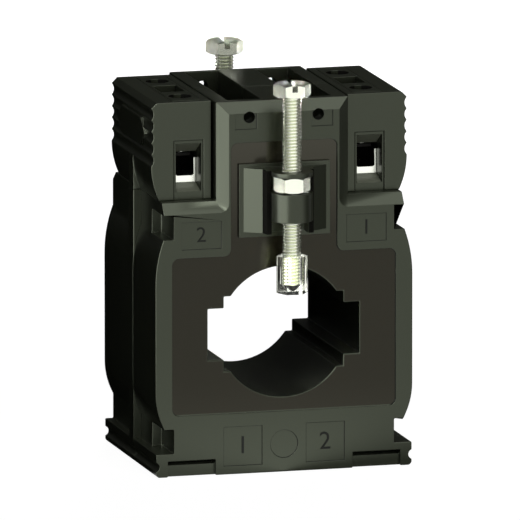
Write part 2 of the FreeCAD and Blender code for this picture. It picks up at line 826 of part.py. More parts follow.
def terminal_channel(label, side):
    """The U-shaped metal channel that the wire lies in."""
    body = new_body(label)
    middle = insert_x * side
    outer = size("tunnel_width") / 2 - size("channel_gap")
    inner = outer - size("channel_wall")
    inside_z = tunnel_floor_z + size("channel_floor")
    top_z = tunnel_floor_z + size("channel_height")
    corner = size("channel_inner_r")
    sketch = front_sketch(body, "channel_outline", 0.0)
    outline(sketch, [(middle - outer, tunnel_floor_z), (middle + outer, tunnel_floor_z),
                     (middle + outer, top_z), (middle + inner, top_z),
                     (middle + inner, inside_z, corner), (middle - inner, inside_z, corner),
                     (middle - inner, top_z), (middle - outer, top_z)])
    pad(body, sketch, "channel_sheet", 2 * channel_half, both_ways=True)
    return move(body, 0, terminal_y)


def nut_bar(label, side):
    """The tapped bar over the channel that both terminal screws run in."""
    body = new_body(label)
    middle = insert_x * side
    half_width = size("nut_bar_width") / 2
    sketch = level_sketch(body, "bar_outline", tunnel_top_z)
    rectangle(sketch, middle - half_width, middle + half_width, -nut_bar_half, nut_bar_half)
    for y in (-terminal_screw_y, terminal_screw_y):
        circle(sketch, middle, y, size("terminal_screw_diameter") / 2 + size("running_gap"))
    pad(body, sketch, "bar_mass", size("nut_bar_thick"))
    return move(body, 0, terminal_y)


def pressure_pad(label, x, y):
    """The small pad under a terminal screw that presses on the wire."""
    width = size("pressure_pad_width")
    length = size("pressure_pad_length")
    plate = solid("Part::Box", "plate_" + label, Length=width, Width=length, Height=size("pressure_pad_thick"))
    plate.Label = label
    return move(plate, x - width / 2, y - length / 2, pad_bottom_z)


def terminal_screw(label, x, y):
    """A slotted terminal screw, whose end turns on the pressure pad."""
    low_z = pad_top_z + size("running_gap")
    head_z = bar_top_z + size("terminal_head_rise")
    diameter = size("terminal_head_diameter")
    shank = solid("Part::Cylinder", label + "_shank", Radius=size("terminal_screw_diameter") / 2,
                  Height=head_z - low_z)
    move(shank, 0, 0, low_z)
    head = solid("Part::Cylinder", label + "_head", Radius=diameter / 2, Height=size("terminal_head_height"))
    move(head, 0, 0, head_z)
    slot = solid("Part::Box", label + "_slot", Length=diameter, Width=size("terminal_slot_width"),
                 Height=size("terminal_slot_depth"))
    move(slot, -diameter / 2, -size("terminal_slot_width") / 2,
         head_z + size("terminal_head_height") - size("terminal_slot_depth"))
    whole = joined("Part::Cut", label, fused(label + "_blank", [shank, head]), slot)
    whole.Label = label
    return move(whole, x, y)


def hexagon(name, across_flats, height, z):
    """A hexagonal prism with two of its corners along X."""
    prism = solid("Part::Prism", name, Circumradius=across_flats / math.sqrt(3), Height=height)
    prism.Polygon = 6
    return move(prism, 0, 0, z)


def on_screw_axis(thing, facing):
    """Stands a piece on the front or rear screw axis, turned as the screws are."""
    move(thing, 0, screw_y * facing)
    half_turn = 180 if facing > 0 else 0
    return turn_about_z(thing, half_turn - size("screw_turn"))


def clamp_screw(label, facing):
    """The long slotted hexagon screw that presses the busbar down."""
    head = hexagon(label + "_head", size("screw_head_across_flats"), size("screw_head_height"), screw_head_z)
    shank = solid("Part::Cylinder", label + "_shank", Radius=size("screw_diameter") / 2,
                  Height=size("screw_length"))
    move(shank, 0, 0, screw_tip_z)
    corner_to_corner = size("screw_head_across_flats") * 2 / math.sqrt(3)
    slot = solid("Part::Box", label + "_slot", Length=size("screw_slot_width"), Width=corner_to_corner,
                 Height=size("screw_slot_depth"))
    move(slot, -size("screw_slot_width") / 2, -corner_to_corner / 2,
         screw_head_z + size("screw_head_height") - size("screw_slot_depth"))
    whole = joined("Part::Cut", label, fused(label + "_blank", [head, shank]), slot)
    whole.Label = label
    return on_screw_axis(whole, facing)


def clamp_nut(label, facing):
    """The hexagon nut in the carrier's slot."""
    z = nut_slot_z + size("nut_play")
    blank = hexagon(label + "_blank", size("nut_across_flats"), size("nut_height"), z)
    bore = solid("Part::Cylinder", label + "_bore", Height=size("nut_height"),
                 Radius=size("screw_diameter") / 2 + size("running_gap"))
    move(bore, 0, 0, z)
    whole = joined("Part::Cut", label, blank, bore)
    whole.Label = label
    return on_screw_axis(whole, facing)


def tip_cap(label, facing):
    """The clear cap on the screw's end, which keeps the metal off the busbar."""
    bottom_z = screw_tip_z - size("cap_floor")
    seat_z = screw_tip_z - size("running_gap")
    prism = hexagon(label + "_blank", size("cap_across_flats"), size("cap_height"), bottom_z)
    bore = solid("Part::Cylinder", label + "_bore", Radius=size("screw_diameter") / 2 + size("running_gap"),
                 Height=bottom_z + size("cap_height") - seat_z)
    move(bore, 0, 0, seat_z)
    whole = joined("Part::Cut", label, prism, bore)
    whole.Label = label
    return on_screw_axis(whole, facing)


def carrier(label, facing):
    """The bracket that holds a clamping screw and its nut off the case's face."""
    body = new_body(label)
    half_plate = size("carrier_width") / 2
    top_z = carrier_bottom_z + size("carrier_height")
    plate_y = -panel_y - size("carrier_plate")
    sketch = front_sketch(body, "plate_outline", -panel_y)
    rectangle(sketch, -half_plate, half_plate, carrier_bottom_z, top_z)
    pad(body, sketch, "plate", size("carrier_plate"))

    nose = size("carrier_nose_width") / 2
    nose_y = -half_depth - size("carrier_nose_reach")
    cheek = size("cheek_width") / 2
    cheek_y = -half_depth - size("cheek_reach")
    wedge_z = carrier_bottom_z + size("wedge_rise")
    foot = half_plate - size("carrier_rim")
    sketch = level_sketch(body, "wedge_outline", wedge_z)
    outline(sketch, [(-foot, plate_y), (foot, plate_y), (nose, nose_y), (cheek, cheek_y),
                     (-cheek, cheek_y), (-nose, nose_y)])
    pad(body, sketch, "wedge", size("wedge_height"))

    collar_z = carrier_bottom_z + size("collar_rise")
    sketch = level_sketch(body, "collar_outline", collar_z)
    circle(sketch, 0, -screw_y, size("collar_radius"))
    pad(body, sketch, "collar", wedge_z + size("wedge_height") - collar_z)

    inside = cheek - size("cheek_thick")
    sketch = level_sketch(body, "leg_pocket_outline", wedge_z)
    rectangle(sketch, -inside, inside, -screw_y, cheek_y + size("cheek_pocket_depth"))
    pocket(body, sketch, "leg_pocket", collar_z - wedge_z, backward=True)

    sketch = level_sketch(body, "nut_slot_outline", nut_slot_z)
    half_slot = size("nut_across_flats") / math.sqrt(3) + size("nut_slot_play") / 2
    rectangle(sketch, -half_slot, half_slot, -screw_y - 2 * size("collar_radius"), half_slot - screw_y)
    pocket(body, sketch, "nut_slot", nut_slot_height, backward=True)

    sketch = level_sketch(body, "collar_bore_outline", top_z)
    circle(sketch, 0, -screw_y, (size("screw_diameter") + size("collar_bore_play")) / 2)
    pocket(body, sketch, "collar_bore", size("carrier_height"))

    lug_z = carrier_bottom_z + size("lug_rise")
    half_lug = size("lug_height") / 2
    sketch = front_sketch(body, "lug_outline", -panel_y)
    rectangle(sketch, -size("lug_width") / 2, size("lug_width") / 2, lug_z - half_lug, lug_z + half_lug)
    pad(body, sketch, "lug", size("lug_depth"), backward=True)
    return turn_about_z(body, 180 if facing > 0 else 0)


pieces = [shell("front_shell", -1), shell("rear_shell", 1), core(), winding()]
for side_name, side in (("left", -1), ("right", 1)):
    pieces.append(lead("lead_" + side_name, side))
    pieces.append(terminal_block("terminal_block_" + side_name, side))
    pieces.append(terminal_insert("terminal_insert_" + side_name, side))
    pieces.append(terminal_channel("terminal_channel_" + side_name, side))
    pieces.append(nut_bar("nut_bar_" + side_name, side))
    for end_name, facing in (("front", -1), ("rear", 1)):
        spot = (insert_x * side, terminal_y + terminal_screw_y * facing)
        pieces.append(pressure_pad("pressure_pad_%s_%s" % (side_name, end_name), *spot))
        pieces.append(terminal_screw("terminal_screw_%s_%s" % (side_name, end_name), *spot))
for end_name, facing in (("front", -1), ("rear", 1)):
    pieces.append(carrier(end_name + "_carrier", facing))
    pieces.append(clamp_screw(end_name + "_clamp_screw", facing))
    pieces.append(clamp_nut(end_name + "_nut", facing))
    pieces.append(tip_cap(end_name + "_tip_cap", facing))

doc.recompute()

faults = []
for thing in doc.Objects:
    if "Invalid" in thing.State or "Error" in thing.State:
        faults.append("%s is %s" % (thing.Label, thing.State))
for piece in pieces:
    if piece.Shape.isNull() or not piece.Shape.isValid() or len(piece.Shape.Solids) != 1:
        faults.append("%s has no single valid solid" % piece.Label)
if faults:
    raise RuntimeError("; ".join(faults))

os.makedirs("parts", exist_ok=True)
for piece in pieces:
    piece.Shape.exportStep("parts/%s.step" % piece.Label)
    box = piece.Shape.BoundBox
    print("%-28s %9.2f mm3  X %7.2f %7.2f  Y %7.2f %7.2f  Z %7.2f %7.2f" % (
        piece.Label, piece.Shape.Volume, box.XMin, box.XMax, box.YMin, box.YMax, box.ZMin, box.ZMax))
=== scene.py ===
# %% [markdown]
# ## The frame
# This object is a current transformer: a dark moulded case that a busbar or a cable passes
# through, with screw terminals on its shoulders and a long clamping screw at the front and back.
# Its construction is already fixed as CAD pieces in metres, so the lesson starts by loading them.
# Everything that is added later rides on one of their bodies. The box of the CAD model is kept
# straight away, and at the end the script prints how far anything grew past it. The box of the
# CAD model is kept straight away, because nothing that is modelled here may grow past it.

# %% Load the frame
import bmesh
import bpy
import json
import math
from mathutils import Matrix, Vector


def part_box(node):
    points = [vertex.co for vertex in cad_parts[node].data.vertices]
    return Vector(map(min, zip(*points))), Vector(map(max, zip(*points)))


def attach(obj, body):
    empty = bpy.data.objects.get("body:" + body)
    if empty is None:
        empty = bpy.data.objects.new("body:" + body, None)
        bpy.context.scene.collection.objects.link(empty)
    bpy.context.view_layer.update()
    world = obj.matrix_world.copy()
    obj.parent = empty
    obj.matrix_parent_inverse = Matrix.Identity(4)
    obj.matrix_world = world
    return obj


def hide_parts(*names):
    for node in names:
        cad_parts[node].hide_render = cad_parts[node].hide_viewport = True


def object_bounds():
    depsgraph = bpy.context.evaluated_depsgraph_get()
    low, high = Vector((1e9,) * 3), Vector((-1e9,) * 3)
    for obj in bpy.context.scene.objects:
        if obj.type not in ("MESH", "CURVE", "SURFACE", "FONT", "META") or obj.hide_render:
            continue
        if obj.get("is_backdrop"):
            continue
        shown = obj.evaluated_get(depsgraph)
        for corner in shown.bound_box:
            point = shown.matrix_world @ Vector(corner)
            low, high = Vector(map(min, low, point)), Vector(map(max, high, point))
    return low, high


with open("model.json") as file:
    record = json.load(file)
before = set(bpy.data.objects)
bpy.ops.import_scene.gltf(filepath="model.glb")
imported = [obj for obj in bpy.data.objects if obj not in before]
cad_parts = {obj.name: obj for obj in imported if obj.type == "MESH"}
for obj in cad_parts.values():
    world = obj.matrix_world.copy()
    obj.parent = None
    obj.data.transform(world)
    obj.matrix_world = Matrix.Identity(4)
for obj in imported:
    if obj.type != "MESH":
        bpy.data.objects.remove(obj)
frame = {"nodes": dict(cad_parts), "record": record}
cad_low, cad_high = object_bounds()
MM = 0.001
body_of = {}
for body, nodes in frame["record"]["behaviour"]["bodies"].items():
    for name in nodes:
        body_of[name] = body
slot_of = {entry["node"]: entry["material_slot"] for entry in frame["record"]["subparts"]}
print("CAD box in mm:", [round(v / MM, 1) for v in cad_low], [round(v / MM, 1) for v in cad_high])
print("Nodes:", len(slot_of), "bodies:", len(set(body_of.values())))


# %% [markdown]
# ## The camera
# The picture that this scene follows has no perspective to speak of: the near and far edges of
# the case have the same length. A very long lens from far away gives that look. The camera
# stands a little to the left and above, and the lens and the distance together make the frame
# 110 mm wide at the object.

# %% Place the camera
CAMERA_AZIMUTH = -15.3
CAMERA_ELEVATION = 10.64
LENS_MM = 1400.0
SENSOR_MM = 36.0
FRAME_WIDTH = 109.9 * MM
RIGHT_OF_ORIGIN = 0.43 * MM
ABOVE_ORIGIN = 40.77 * MM


def directions(azimuth, elevation):
    """The directions to the right, up and back towards whoever looks from that angle."""
    a, e = math.radians(azimuth), math.radians(elevation)
    back = Vector((math.sin(a) * math.cos(e), -math.cos(a) * math.cos(e), math.sin(e)))
    right = Vector((math.cos(a), math.sin(a), 0.0))
    return right, back.cross(right), back


right, up, back = directions(CAMERA_AZIMUTH, CAMERA_ELEVATION)
aim = right * RIGHT_OF_ORIGIN + up * ABOVE_ORIGIN
camera_data = bpy.data.cameras.new("camera")
camera_data.lens = LENS_MM
camera_data.sensor_width = SENSOR_MM
distance = FRAME_WIDTH * LENS_MM / SENSOR_MM
camera_data.clip_start = distance * 0.5
camera_data.clip_end = distance * 3.0
camera = bpy.data.objects.new("camera", camera_data)
bpy.context.scene.collection.objects.link(camera)
camera.rotation_mode = "QUATERNION"
camera.location = aim + back * distance
camera.rotation_quaternion = back.to_track_quat("Z", "Y")
bpy.context.scene.camera = camera
print("Camera distance in m:", round(distance, 3))


# %% [markdown]
# ## What the shiny surfaces see
# Dark plastic and bright steel both show mostly their surroundings. The picture's surroundings
# are bright in front and to the left and dark to the right and behind, which is what makes
# the left bevels pale and the right ones dark. So the glow that mirrors see is given as a
# profile round the compass: a radial gradient turned so that its seam lies behind the object,
# and a colour ramp whose stops are angles from the front.

# %% The glow round the compass
GLOW_STOPS = [(-180, 0.0), (-104, 0.0), (-93, 0.45), (-66, 0.5), (-40, 0.85), (-15, 1.0), (42, 1.0),
              (56, 0.42), (70, 0.10), (84, 0.05), (98, 0.2), (135, 0.2), (150, 0.0)]


def glow_profile(tree, place, forward=0.0):
    """The glow in a direction or at a floor point, seen from a centre moved forward."""
    turn = tree.nodes.new("ShaderNodeMapping")
    turn.inputs["Rotation"].default_value = (0, 0, math.radians(90))
    turn.inputs["Location"].default_value = (-forward, 0, 0)
    compass = tree.nodes.new("ShaderNodeTexGradient")
    compass.gradient_type = "RADIAL"
    profile = tree.nodes.new("ShaderNodeValToRGB")
    stops = profile.color_ramp.elements
    for number, (angle, level) in enumerate(GLOW_STOPS):
        position = (angle + 180) / 360
        stop = stops[number] if number < 2 else stops.new(position)
        stop.position = position
        stop.color = (level, level, level, 1.0)
    tree.links.new(place, turn.inputs["Vector"])
    tree.links.new(turn.outputs["Vector"], compass.inputs["Vector"])
    tree.links.new(compass.outputs["Fac"], profile.inputs["Fac"])
    return profile.outputs["Color"]


def combined(tree, operation, first, second):
    """One Math node; each input is a number or another node's output."""
    node = tree.nodes.new("ShaderNodeMath")
    node.operation = operation
    for socket, value in zip(node.inputs, (first, second)):
        if isinstance(value, (int, float)):
            socket.default_value = value
        else:
            tree.links.new(value, socket)
    return node.outputs[0]


def seen_strength(tree, to_camera, to_mirrors):
    """White for the camera and through clear plastic, the shaped glow for mirrors."""
    path = tree.nodes.new("ShaderNodeLightPath")
    clear = combined(tree, "MAXIMUM", path.outputs["Is Camera Ray"], path.outputs["Is Transmission Ray"])
    direct = combined(tree, "MULTIPLY", clear, to_camera)
    mirrored = combined(tree, "MULTIPLY", path.outputs["Is Glossy Ray"], to_mirrors)
    return combined(tree, "ADD", direct, mirrored)


print("Glow stops:", len(GLOW_STOPS))


# %% [markdown]
# ## The floor and the white surroundings
# The object stands on a plain floor that melts into a white background. Raising the lamps until
# the floor burns out would wash out the object too, so the white is given to what the camera
# and clear plastic see, and mirrors see the glow above. Other light rays meet the plain pale
# floor, which keeps the dark plastic dark and lets the floor hold the object's shadow.

# %% The floor
FLOOR_SIZE = 3.0
FLOOR_GLOW = 0.97
FLOOR_TONE = 0.25
MIRROR_GLOW = 1.28
NEAR_FLOOR = 0.045
FAR_FLOOR = 0.12
NEAR_BOOST = 1.6
FACE_DISTANCE = 22 * MM


def clear_selection():
    """A loaded frame and a new primitive both leave things selected."""
    if bpy.context.mode != "OBJECT":
        bpy.ops.object.mode_set(mode="OBJECT")
    bpy.ops.object.select_all(action="DESELECT")


clear_selection()
bpy.ops.mesh.primitive_plane_add(size=FLOOR_SIZE, location=(0, 0, cad_low.z))
floor = bpy.context.object
floor.name = "floor"
floor_paint = bpy.data.materials.new("floor_white")
floor_paint.use_nodes = True
tree = floor_paint.node_tree
tree.nodes.clear()
place = tree.nodes.new("ShaderNodeTexCoord")
reach = tree.nodes.new("ShaderNodeVectorMath")
reach.operation = "LENGTH"
tree.links.new(place.outputs["Object"], reach.inputs[0])
near_far = tree.nodes.new("ShaderNodeMapRange")
near_far.inputs["From Min"].default_value = NEAR_FLOOR
near_far.inputs["From Max"].default_value = FAR_FLOOR
near_far.inputs["To Min"].default_value = MIRROR_GLOW * NEAR_BOOST
near_far.inputs["To Max"].default_value = MIRROR_GLOW
tree.links.new(reach.outputs["Value"], near_far.inputs["Value"])
profile = glow_profile(tree, place.outputs["Object"], FACE_DISTANCE)
to_mirrors = combined(tree, "MULTIPLY", profile, near_far.outputs["Result"])
floor_glow = tree.nodes.new("ShaderNodeEmission")
tree.links.new(seen_strength(tree, FLOOR_GLOW, to_mirrors), floor_glow.inputs["Strength"])
floor_diffuse = tree.nodes.new("ShaderNodeBsdfDiffuse")
path = tree.nodes.new("ShaderNodeLightPath")
not_mirrored = combined(tree, "SUBTRACT", 1.0, path.outputs["Is Glossy Ray"])
tree.links.new(combined(tree, "MULTIPLY", not_mirrored, FLOOR_TONE), floor_diffuse.inputs["Color"])
floor_sum = tree.nodes.new("ShaderNodeAddShader")
floor_out = tree.nodes.new("ShaderNodeOutputMaterial")
tree.links.new(floor_diffuse.outputs[0], floor_sum.inputs[0])
tree.links.new(floor_glow.outputs[0], floor_sum.inputs[1])
tree.links.new(floor_sum.outputs[0], floor_out.inputs["Surface"])
floor.data.materials.append(floor_paint)
floor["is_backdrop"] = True
print("Floor at z in mm:", round(cad_low.z / MM, 2))

# %% The world
AMBIENT = 0.02
world = bpy.data.worlds.new("studio")
bpy.context.scene.world = world
world.use_nodes = True
tree = world.node_tree
tree.nodes.clear()
place = tree.nodes.new("ShaderNodeTexCoord")
to_mirrors = combined(tree, "MULTIPLY", glow_profile(tree, place.outputs["Generated"]), MIRROR_GLOW)
world_strength = combined(tree, "ADD", seen_strength(tree, 1.0 - AMBIENT, to_mirrors), AMBIENT)
world_glow = tree.nodes.new("ShaderNodeBackground")
tree.links.new(world_strength, world_glow.inputs["Strength"])
world_out = tree.nodes.new("ShaderNodeOutputWorld")
tree.links.new(world_glow.outputs[0], world_out.inputs["Surface"])
world_glow.inputs["Color"].default_value = (1.0, 1.0, 1.0, 1.0)
bpy.context.scene.view_settings.view_transform = "Standard"
print("World ambient:", AMBIENT)


# %% [markdown]
# ## The lamps
# A soft lamp almost in front gives the matt share of the light and leaves the left flank in
# the dark. It is hidden from mirrors, because the glow already stands for it there. A panel
# close by on the left does the opposite: only mirrors see it, so it draws pale lines on the left
# bevels and edges, and a small one higher up adds glints. A panel overhead lights the tops, and
# one behind shows the back and the right flank when the object is looked at from there.
#
# Bright metal mirrors about twenty times as much as dark plastic does, so the screws get dimmer
# panels of their own: each lamp can be kept to one of two groups of things. The terminals' metal
# is in neither group and stays as dark inside as in the picture. The screws' panels reach through
# the floor and the case, because only the screws may shade them. That works for light that is
# sent from the lamp but not for rays that meet it by chance, so the second way is switched off.
# Brightness is what the eye would see on the panel; the power in watts follows from its area.

# %% Soft panels round the object
LAMP_DISTANCE = 0.6
SIDE_DISTANCE = 0.125
AIM_HEIGHT = 42 * MM
plastic_things = bpy.data.collections.new("plastic_things")
metal_things = bpy.data.collections.new("metal_things")


def soft_panel(name, azimuth, elevation, width, height, brightness, to_matt=True, to_mirror=True,
               distance=LAMP_DISTANCE, only=None, shaded_by=None):
    """A flat lamp that faces the middle of the object."""
    outward = directions(azimuth, elevation)[2]
    lamp_data = bpy.data.lights.new(name, "AREA")
    lamp_data.shape = "RECTANGLE"
    lamp_data.size = width
    lamp_data.size_y = height
    lamp_data.energy = brightness * math.pi * width * height
    lamp = bpy.data.objects.new(name, lamp_data)
    bpy.context.scene.collection.objects.link(lamp)
    lamp.rotation_mode = "QUATERNION"
    lamp.location = Vector((0, 0, AIM_HEIGHT)) + outward * distance
    lamp.rotation_quaternion = outward.to_track_quat("Z", "Y")
    lamp.visible_camera = False
    lamp.visible_diffuse = to_matt
    lamp.visible_glossy = to_mirror
    if only:
        lamp.light_linking.receiver_collection = only
    if shaded_by:
        lamp.light_linking.blocker_collection = shaded_by
        lamp_data.cycles.use_multiple_importance_sampling = False


soft_panel("front_panel", 14, 14, 0.3, 0.3, 3.6, to_mirror=False)
soft_panel("left_panel", -62, 15, 0.15, 0.15, 3.85, to_matt=False, distance=SIDE_DISTANCE,
           only=plastic_things)
soft_panel("top_panel", 40, 80, 0.66, 0.66, 1.45, only=plastic_things)
soft_panel("back_panel", 156, 4, 0.3, 0.3, 9.0, to_mirror=False)
soft_panel("metal_top_panel", 0, 80, 0.5, 0.5, 0.25, only=metal_things)
soft_panel("edge_panel", -48, 40, 0.16, 0.16, 14.0, to_matt=False, only=plastic_things)
for name, azimuth, elevation, width, height, brightness in (
        ("metal_left_panel", -128, 2, 0.6, 0.5, 0.22),
        ("metal_low_panel", -178, -15, 2.0, 0.25, 0.95),
        ("metal_right_panel", 122, -8, 0.4, 0.3, 0.26),
        ("metal_back_panel", 176, 10, 0.5, 0.45, 0.65)):
    soft_panel(name, azimuth, elevation, width, height, brightness, to_matt=False,
               only=metal_things, shaded_by=metal_things)


# %% [markdown]
# ## The finishes
# Every finish is a small node group of its own: a base colour, a slight variation of tone, a
# roughness and a fine relief, all driven by noise in the piece's own coordinates. Moulded
# plastic has a dull satin skin with a very fine grain; plated steel is smooth with short
# brushed streaks. Values that don't change over the surface sit on the shader itself. The case's
# roughness stays above 0.27 everywhere: on anything smoother the picture's noise filter keeps
# the grain that it takes for a mirror image, and dark plastic looks speckled.

# %% Helpers for finishes
def new_finish(name, colour, roughness, metallic=0.0):
    """A material with one Principled shader, its node tree and the shader."""
    material = bpy.data.materials.new(name)
    material.use_nodes = True
    shader = material.node_tree.nodes["Principled BSDF"]
    shader.inputs["Base Color"].default_value = (*colour, 1.0)
    shader.inputs["Roughness"].default_value = roughness
    shader.inputs["Metallic"].default_value = metallic
    return material, material.node_tree, shader


def noise(tree, scale, detail=2.0, stretch=(1, 1, 1)):
    """Noise in object coordinates; scale is in features per metre."""
    place = tree.nodes.new("ShaderNodeTexCoord")
    mapping = tree.nodes.new("ShaderNodeMapping")
    mapping.inputs["Scale"].default_value = stretch
    pattern = tree.nodes.new("ShaderNodeTexNoise")
    pattern.inputs["Scale"].default_value = scale
    pattern.inputs["Detail"].default_value = detail
    tree.links.new(place.outputs["Object"], mapping.inputs["Vector"])
    tree.links.new(mapping.outputs["Vector"], pattern.inputs["Vector"])
    return pattern.outputs["Fac"]


def spread(tree, value, low, high):
    """Maps a pattern from 0..1 to low..high."""
    node = tree.nodes.new("ShaderNodeMapRange")
    node.inputs["To Min"].default_value = low
    node.inputs["To Max"].default_value = high
    tree.links.new(value, node.inputs["Value"])
    return node.outputs["Result"]


def two_tones(tree, value, dark, light):
    """Maps a pattern to a colour between two tones."""
    ramp = tree.nodes.new("ShaderNodeValToRGB")
    ramp.color_ramp.elements[0].color = (*dark, 1.0)
    ramp.color_ramp.elements[1].color = (*light, 1.0)
    tree.links.new(value, ramp.inputs["Fac"])
    return ramp.outputs["Color"]


def relief(tree, shader, value, height):
    """Raises a fine relief of a real height in metres."""
    bump = tree.nodes.new("ShaderNodeBump")
    bump.inputs["Strength"].default_value = 1.0
    bump.inputs["Distance"].default_value = height
    tree.links.new(value, bump.inputs["Height"])
    tree.links.new(bump.outputs["Normal"], shader.inputs["Normal"])


print("Materials so far:", len(bpy.data.materials))

# %% Plastics
MOTTLE_SCALE = 160
GLOSS_SCALE = 900
GRAIN_SCALE = 5200
GRAIN_HEIGHT = 2e-6
POLISHED_GRAIN = 1e-6
GLOSS_SPREAD = 0.01
CASE_TINT = (0.90, 1.0, 0.77, 1.0)


def moulded_plastic(name, dark, light, smooth, grain=GRAIN_HEIGHT):
    """Moulded plastic with a faint mottling and a fine spark-eroded grain."""
    material, tree, shader = new_finish(name, light, smooth)
    mottle = two_tones(tree, noise(tree, MOTTLE_SCALE, 3), dark, light)
    gloss = spread(tree, noise(tree, GLOSS_SCALE), smooth - GLOSS_SPREAD, smooth + GLOSS_SPREAD)
    tree.links.new(mottle, shader.inputs["Base Color"])
    tree.links.new(gloss, shader.inputs["Roughness"])
    relief(tree, shader, noise(tree, GRAIN_SCALE, 1), grain)
    return material, shader


case_plastic, shader = moulded_plastic("case_plastic", (0.0175, 0.0200, 0.0125),
                                       (0.0205, 0.0235, 0.0150), 0.288)
shader.inputs["Specular Tint"].default_value = CASE_TINT
# Painted light: a pale plastic stands for the light on the funnel slopes that face up and down.
painted_light_funnel_plastic, shader = moulded_plastic("painted_light_funnel_plastic", (0.125, 0.135, 0.100),
                                         (0.150, 0.160, 0.120), 0.4)
shader.inputs["Specular Tint"].default_value = CASE_TINT
# Painted shade: a dark plastic for the steep walls of the recesses and for the numbers.
painted_shade_plastic, shader = moulded_plastic("painted_shade_plastic", (0.006, 0.007, 0.005), (0.008, 0.009, 0.006), 0.5)
shader.inputs["Specular IOR Level"].default_value = 0.2
# Painted shade: a near-black plastic with little specular stands for the shade on the funnels' sides and the
# carrier's cheeks.
painted_black_shade_plastic, shader = moulded_plastic("painted_black_shade_plastic", (0.003, 0.003, 0.002), (0.004, 0.004, 0.003), 0.7)
shader.inputs["Specular IOR Level"].default_value = 0.05
lead_sleeve, shader = moulded_plastic("lead_sleeve", (0.36, 0.05, 0.04), (0.45, 0.07, 0.05), 0.45)
print("Plastics:", [m.name for m in bpy.data.materials if "plastic" in m.name])

# %% [markdown]
# ## The polished panel
# The panel round the window is polished in the mould and browner than the case. Towards its
# top, where it sits behind the screw, it gets a painted sheen: a height in object coordinates is
# spread over the shader's specular level, so the painted sheen grows upwards.

# %% The panel's finish
SHEEN_FADE_LOW = 51 * MM
SHEEN_FADE_HIGH = 70 * MM
SHEEN_BELOW = 0.28
SHEEN_ABOVE = 0.52
panel_plastic, shader = moulded_plastic("panel_plastic", (0.0110, 0.0090, 0.0045),
                                        (0.0135, 0.0110, 0.0055), 0.13, POLISHED_GRAIN)
shader.inputs["Specular Tint"].default_value = (0.98, 0.96, 0.77, 1.0)
tree = panel_plastic.node_tree
place = tree.nodes.new("ShaderNodeTexCoord")
height = tree.nodes.new("ShaderNodeSeparateXYZ")
tree.links.new(place.outputs["Object"], height.inputs[0])
# Painted sheen: the specular level grows with height.
fade = tree.nodes.new("ShaderNodeMapRange")
fade.inputs["From Min"].default_value = SHEEN_FADE_LOW
fade.inputs["From Max"].default_value = SHEEN_FADE_HIGH
fade.inputs["To Min"].default_value = SHEEN_BELOW
fade.inputs["To Max"].default_value = SHEEN_ABOVE
tree.links.new(height.outputs["Z"], fade.inputs["Value"])
tree.links.new(fade.outputs["Result"], shader.inputs["Specular IOR Level"])
print("Polish from", SHEEN_BELOW, "to", SHEEN_ABOVE)

# %% [markdown]
# ## Clear plastic
# The caps on the screws' ends are clear. Full transmission with a low index of refraction lets
# the thread inside show without bending it much, and a slight relief keeps the walls lively.

# %% The caps' finish
WALL_SCALE = 1500
WALL_RELIEF = 2e-6
clear_plastic, tree, shader = new_finish("clear_plastic", (0.88, 0.90, 0.80), 0.06)
shader.inputs["Transmission Weight"].default_value = 1.0
shader.inputs["IOR"].default_value = 1.33
relief(tree, shader, noise(tree, WALL_SCALE, 1), WALL_RELIEF)
print("Clear finish:", clear_plastic.name)

# %% [markdown]
# ## Metals
# The screws and nuts are bright plated steel, and the terminals' channels are plated too, with
# streaks along their length. The metal deep in the terminals gets painted shade: a near-black
# steel. The core's strip has long streaks along the winding direction.

# %% The metals' finishes
TONE_SCALE = 900
STREAK_SCALE = 2500
SCRATCH_SCALE = 6000
SCRATCH_DEPTH = 1.5e-6
STREAK_SPREAD = 0.05
DARKER = 0.93


def plated_steel(name, tone, smooth, streaks=(1, 1, 0.2)):
    """Plated metal whose tone and gloss vary in short streaks."""
    material, tree, shader = new_finish(name, tone, smooth, metallic=1.0)
    darker = tuple(v * DARKER for v in tone)
    shades = two_tones(tree, noise(tree, TONE_SCALE, 2, streaks), darker, tone)
    gloss = noise(tree, STREAK_SCALE, 2, streaks)
    gloss = spread(tree, gloss, smooth - STREAK_SPREAD, smooth + STREAK_SPREAD)
    tree.links.new(shades, shader.inputs["Base Color"])
    tree.links.new(gloss, shader.inputs["Roughness"])
    relief(tree, shader, noise(tree, SCRATCH_SCALE, 1, streaks), SCRATCH_DEPTH)
    return material


screw_steel = plated_steel("screw_steel", (0.83, 0.855, 0.73), 0.24, (1, 1, 1))
terminal_steel = plated_steel("terminal_steel", (0.90, 0.92, 0.82), 0.28)
# Painted shade: a near-black steel for the metal deep in the terminals.
painted_shade_steel = plated_steel("painted_shade_steel", (0.010, 0.010, 0.009), 0.5)
core_steel = plated_steel("core_steel", (0.36, 0.36, 0.38), 0.42, (1, 0.05, 1))
print("Metals:", screw_steel.name, terminal_steel.name, painted_shade_steel.name, core_steel.name)

# %% [markdown]
# ## The winding's copper
# The CAD winding is one smooth skin round the core. On the real object it is hundreds of turns
# of enamelled wire. They run round the core's section, so on the skin they show as fine spokes.
# A radial gradient round the winding's axis, repeated by a sine, gives the spokes; it feeds the
# tone and the relief.

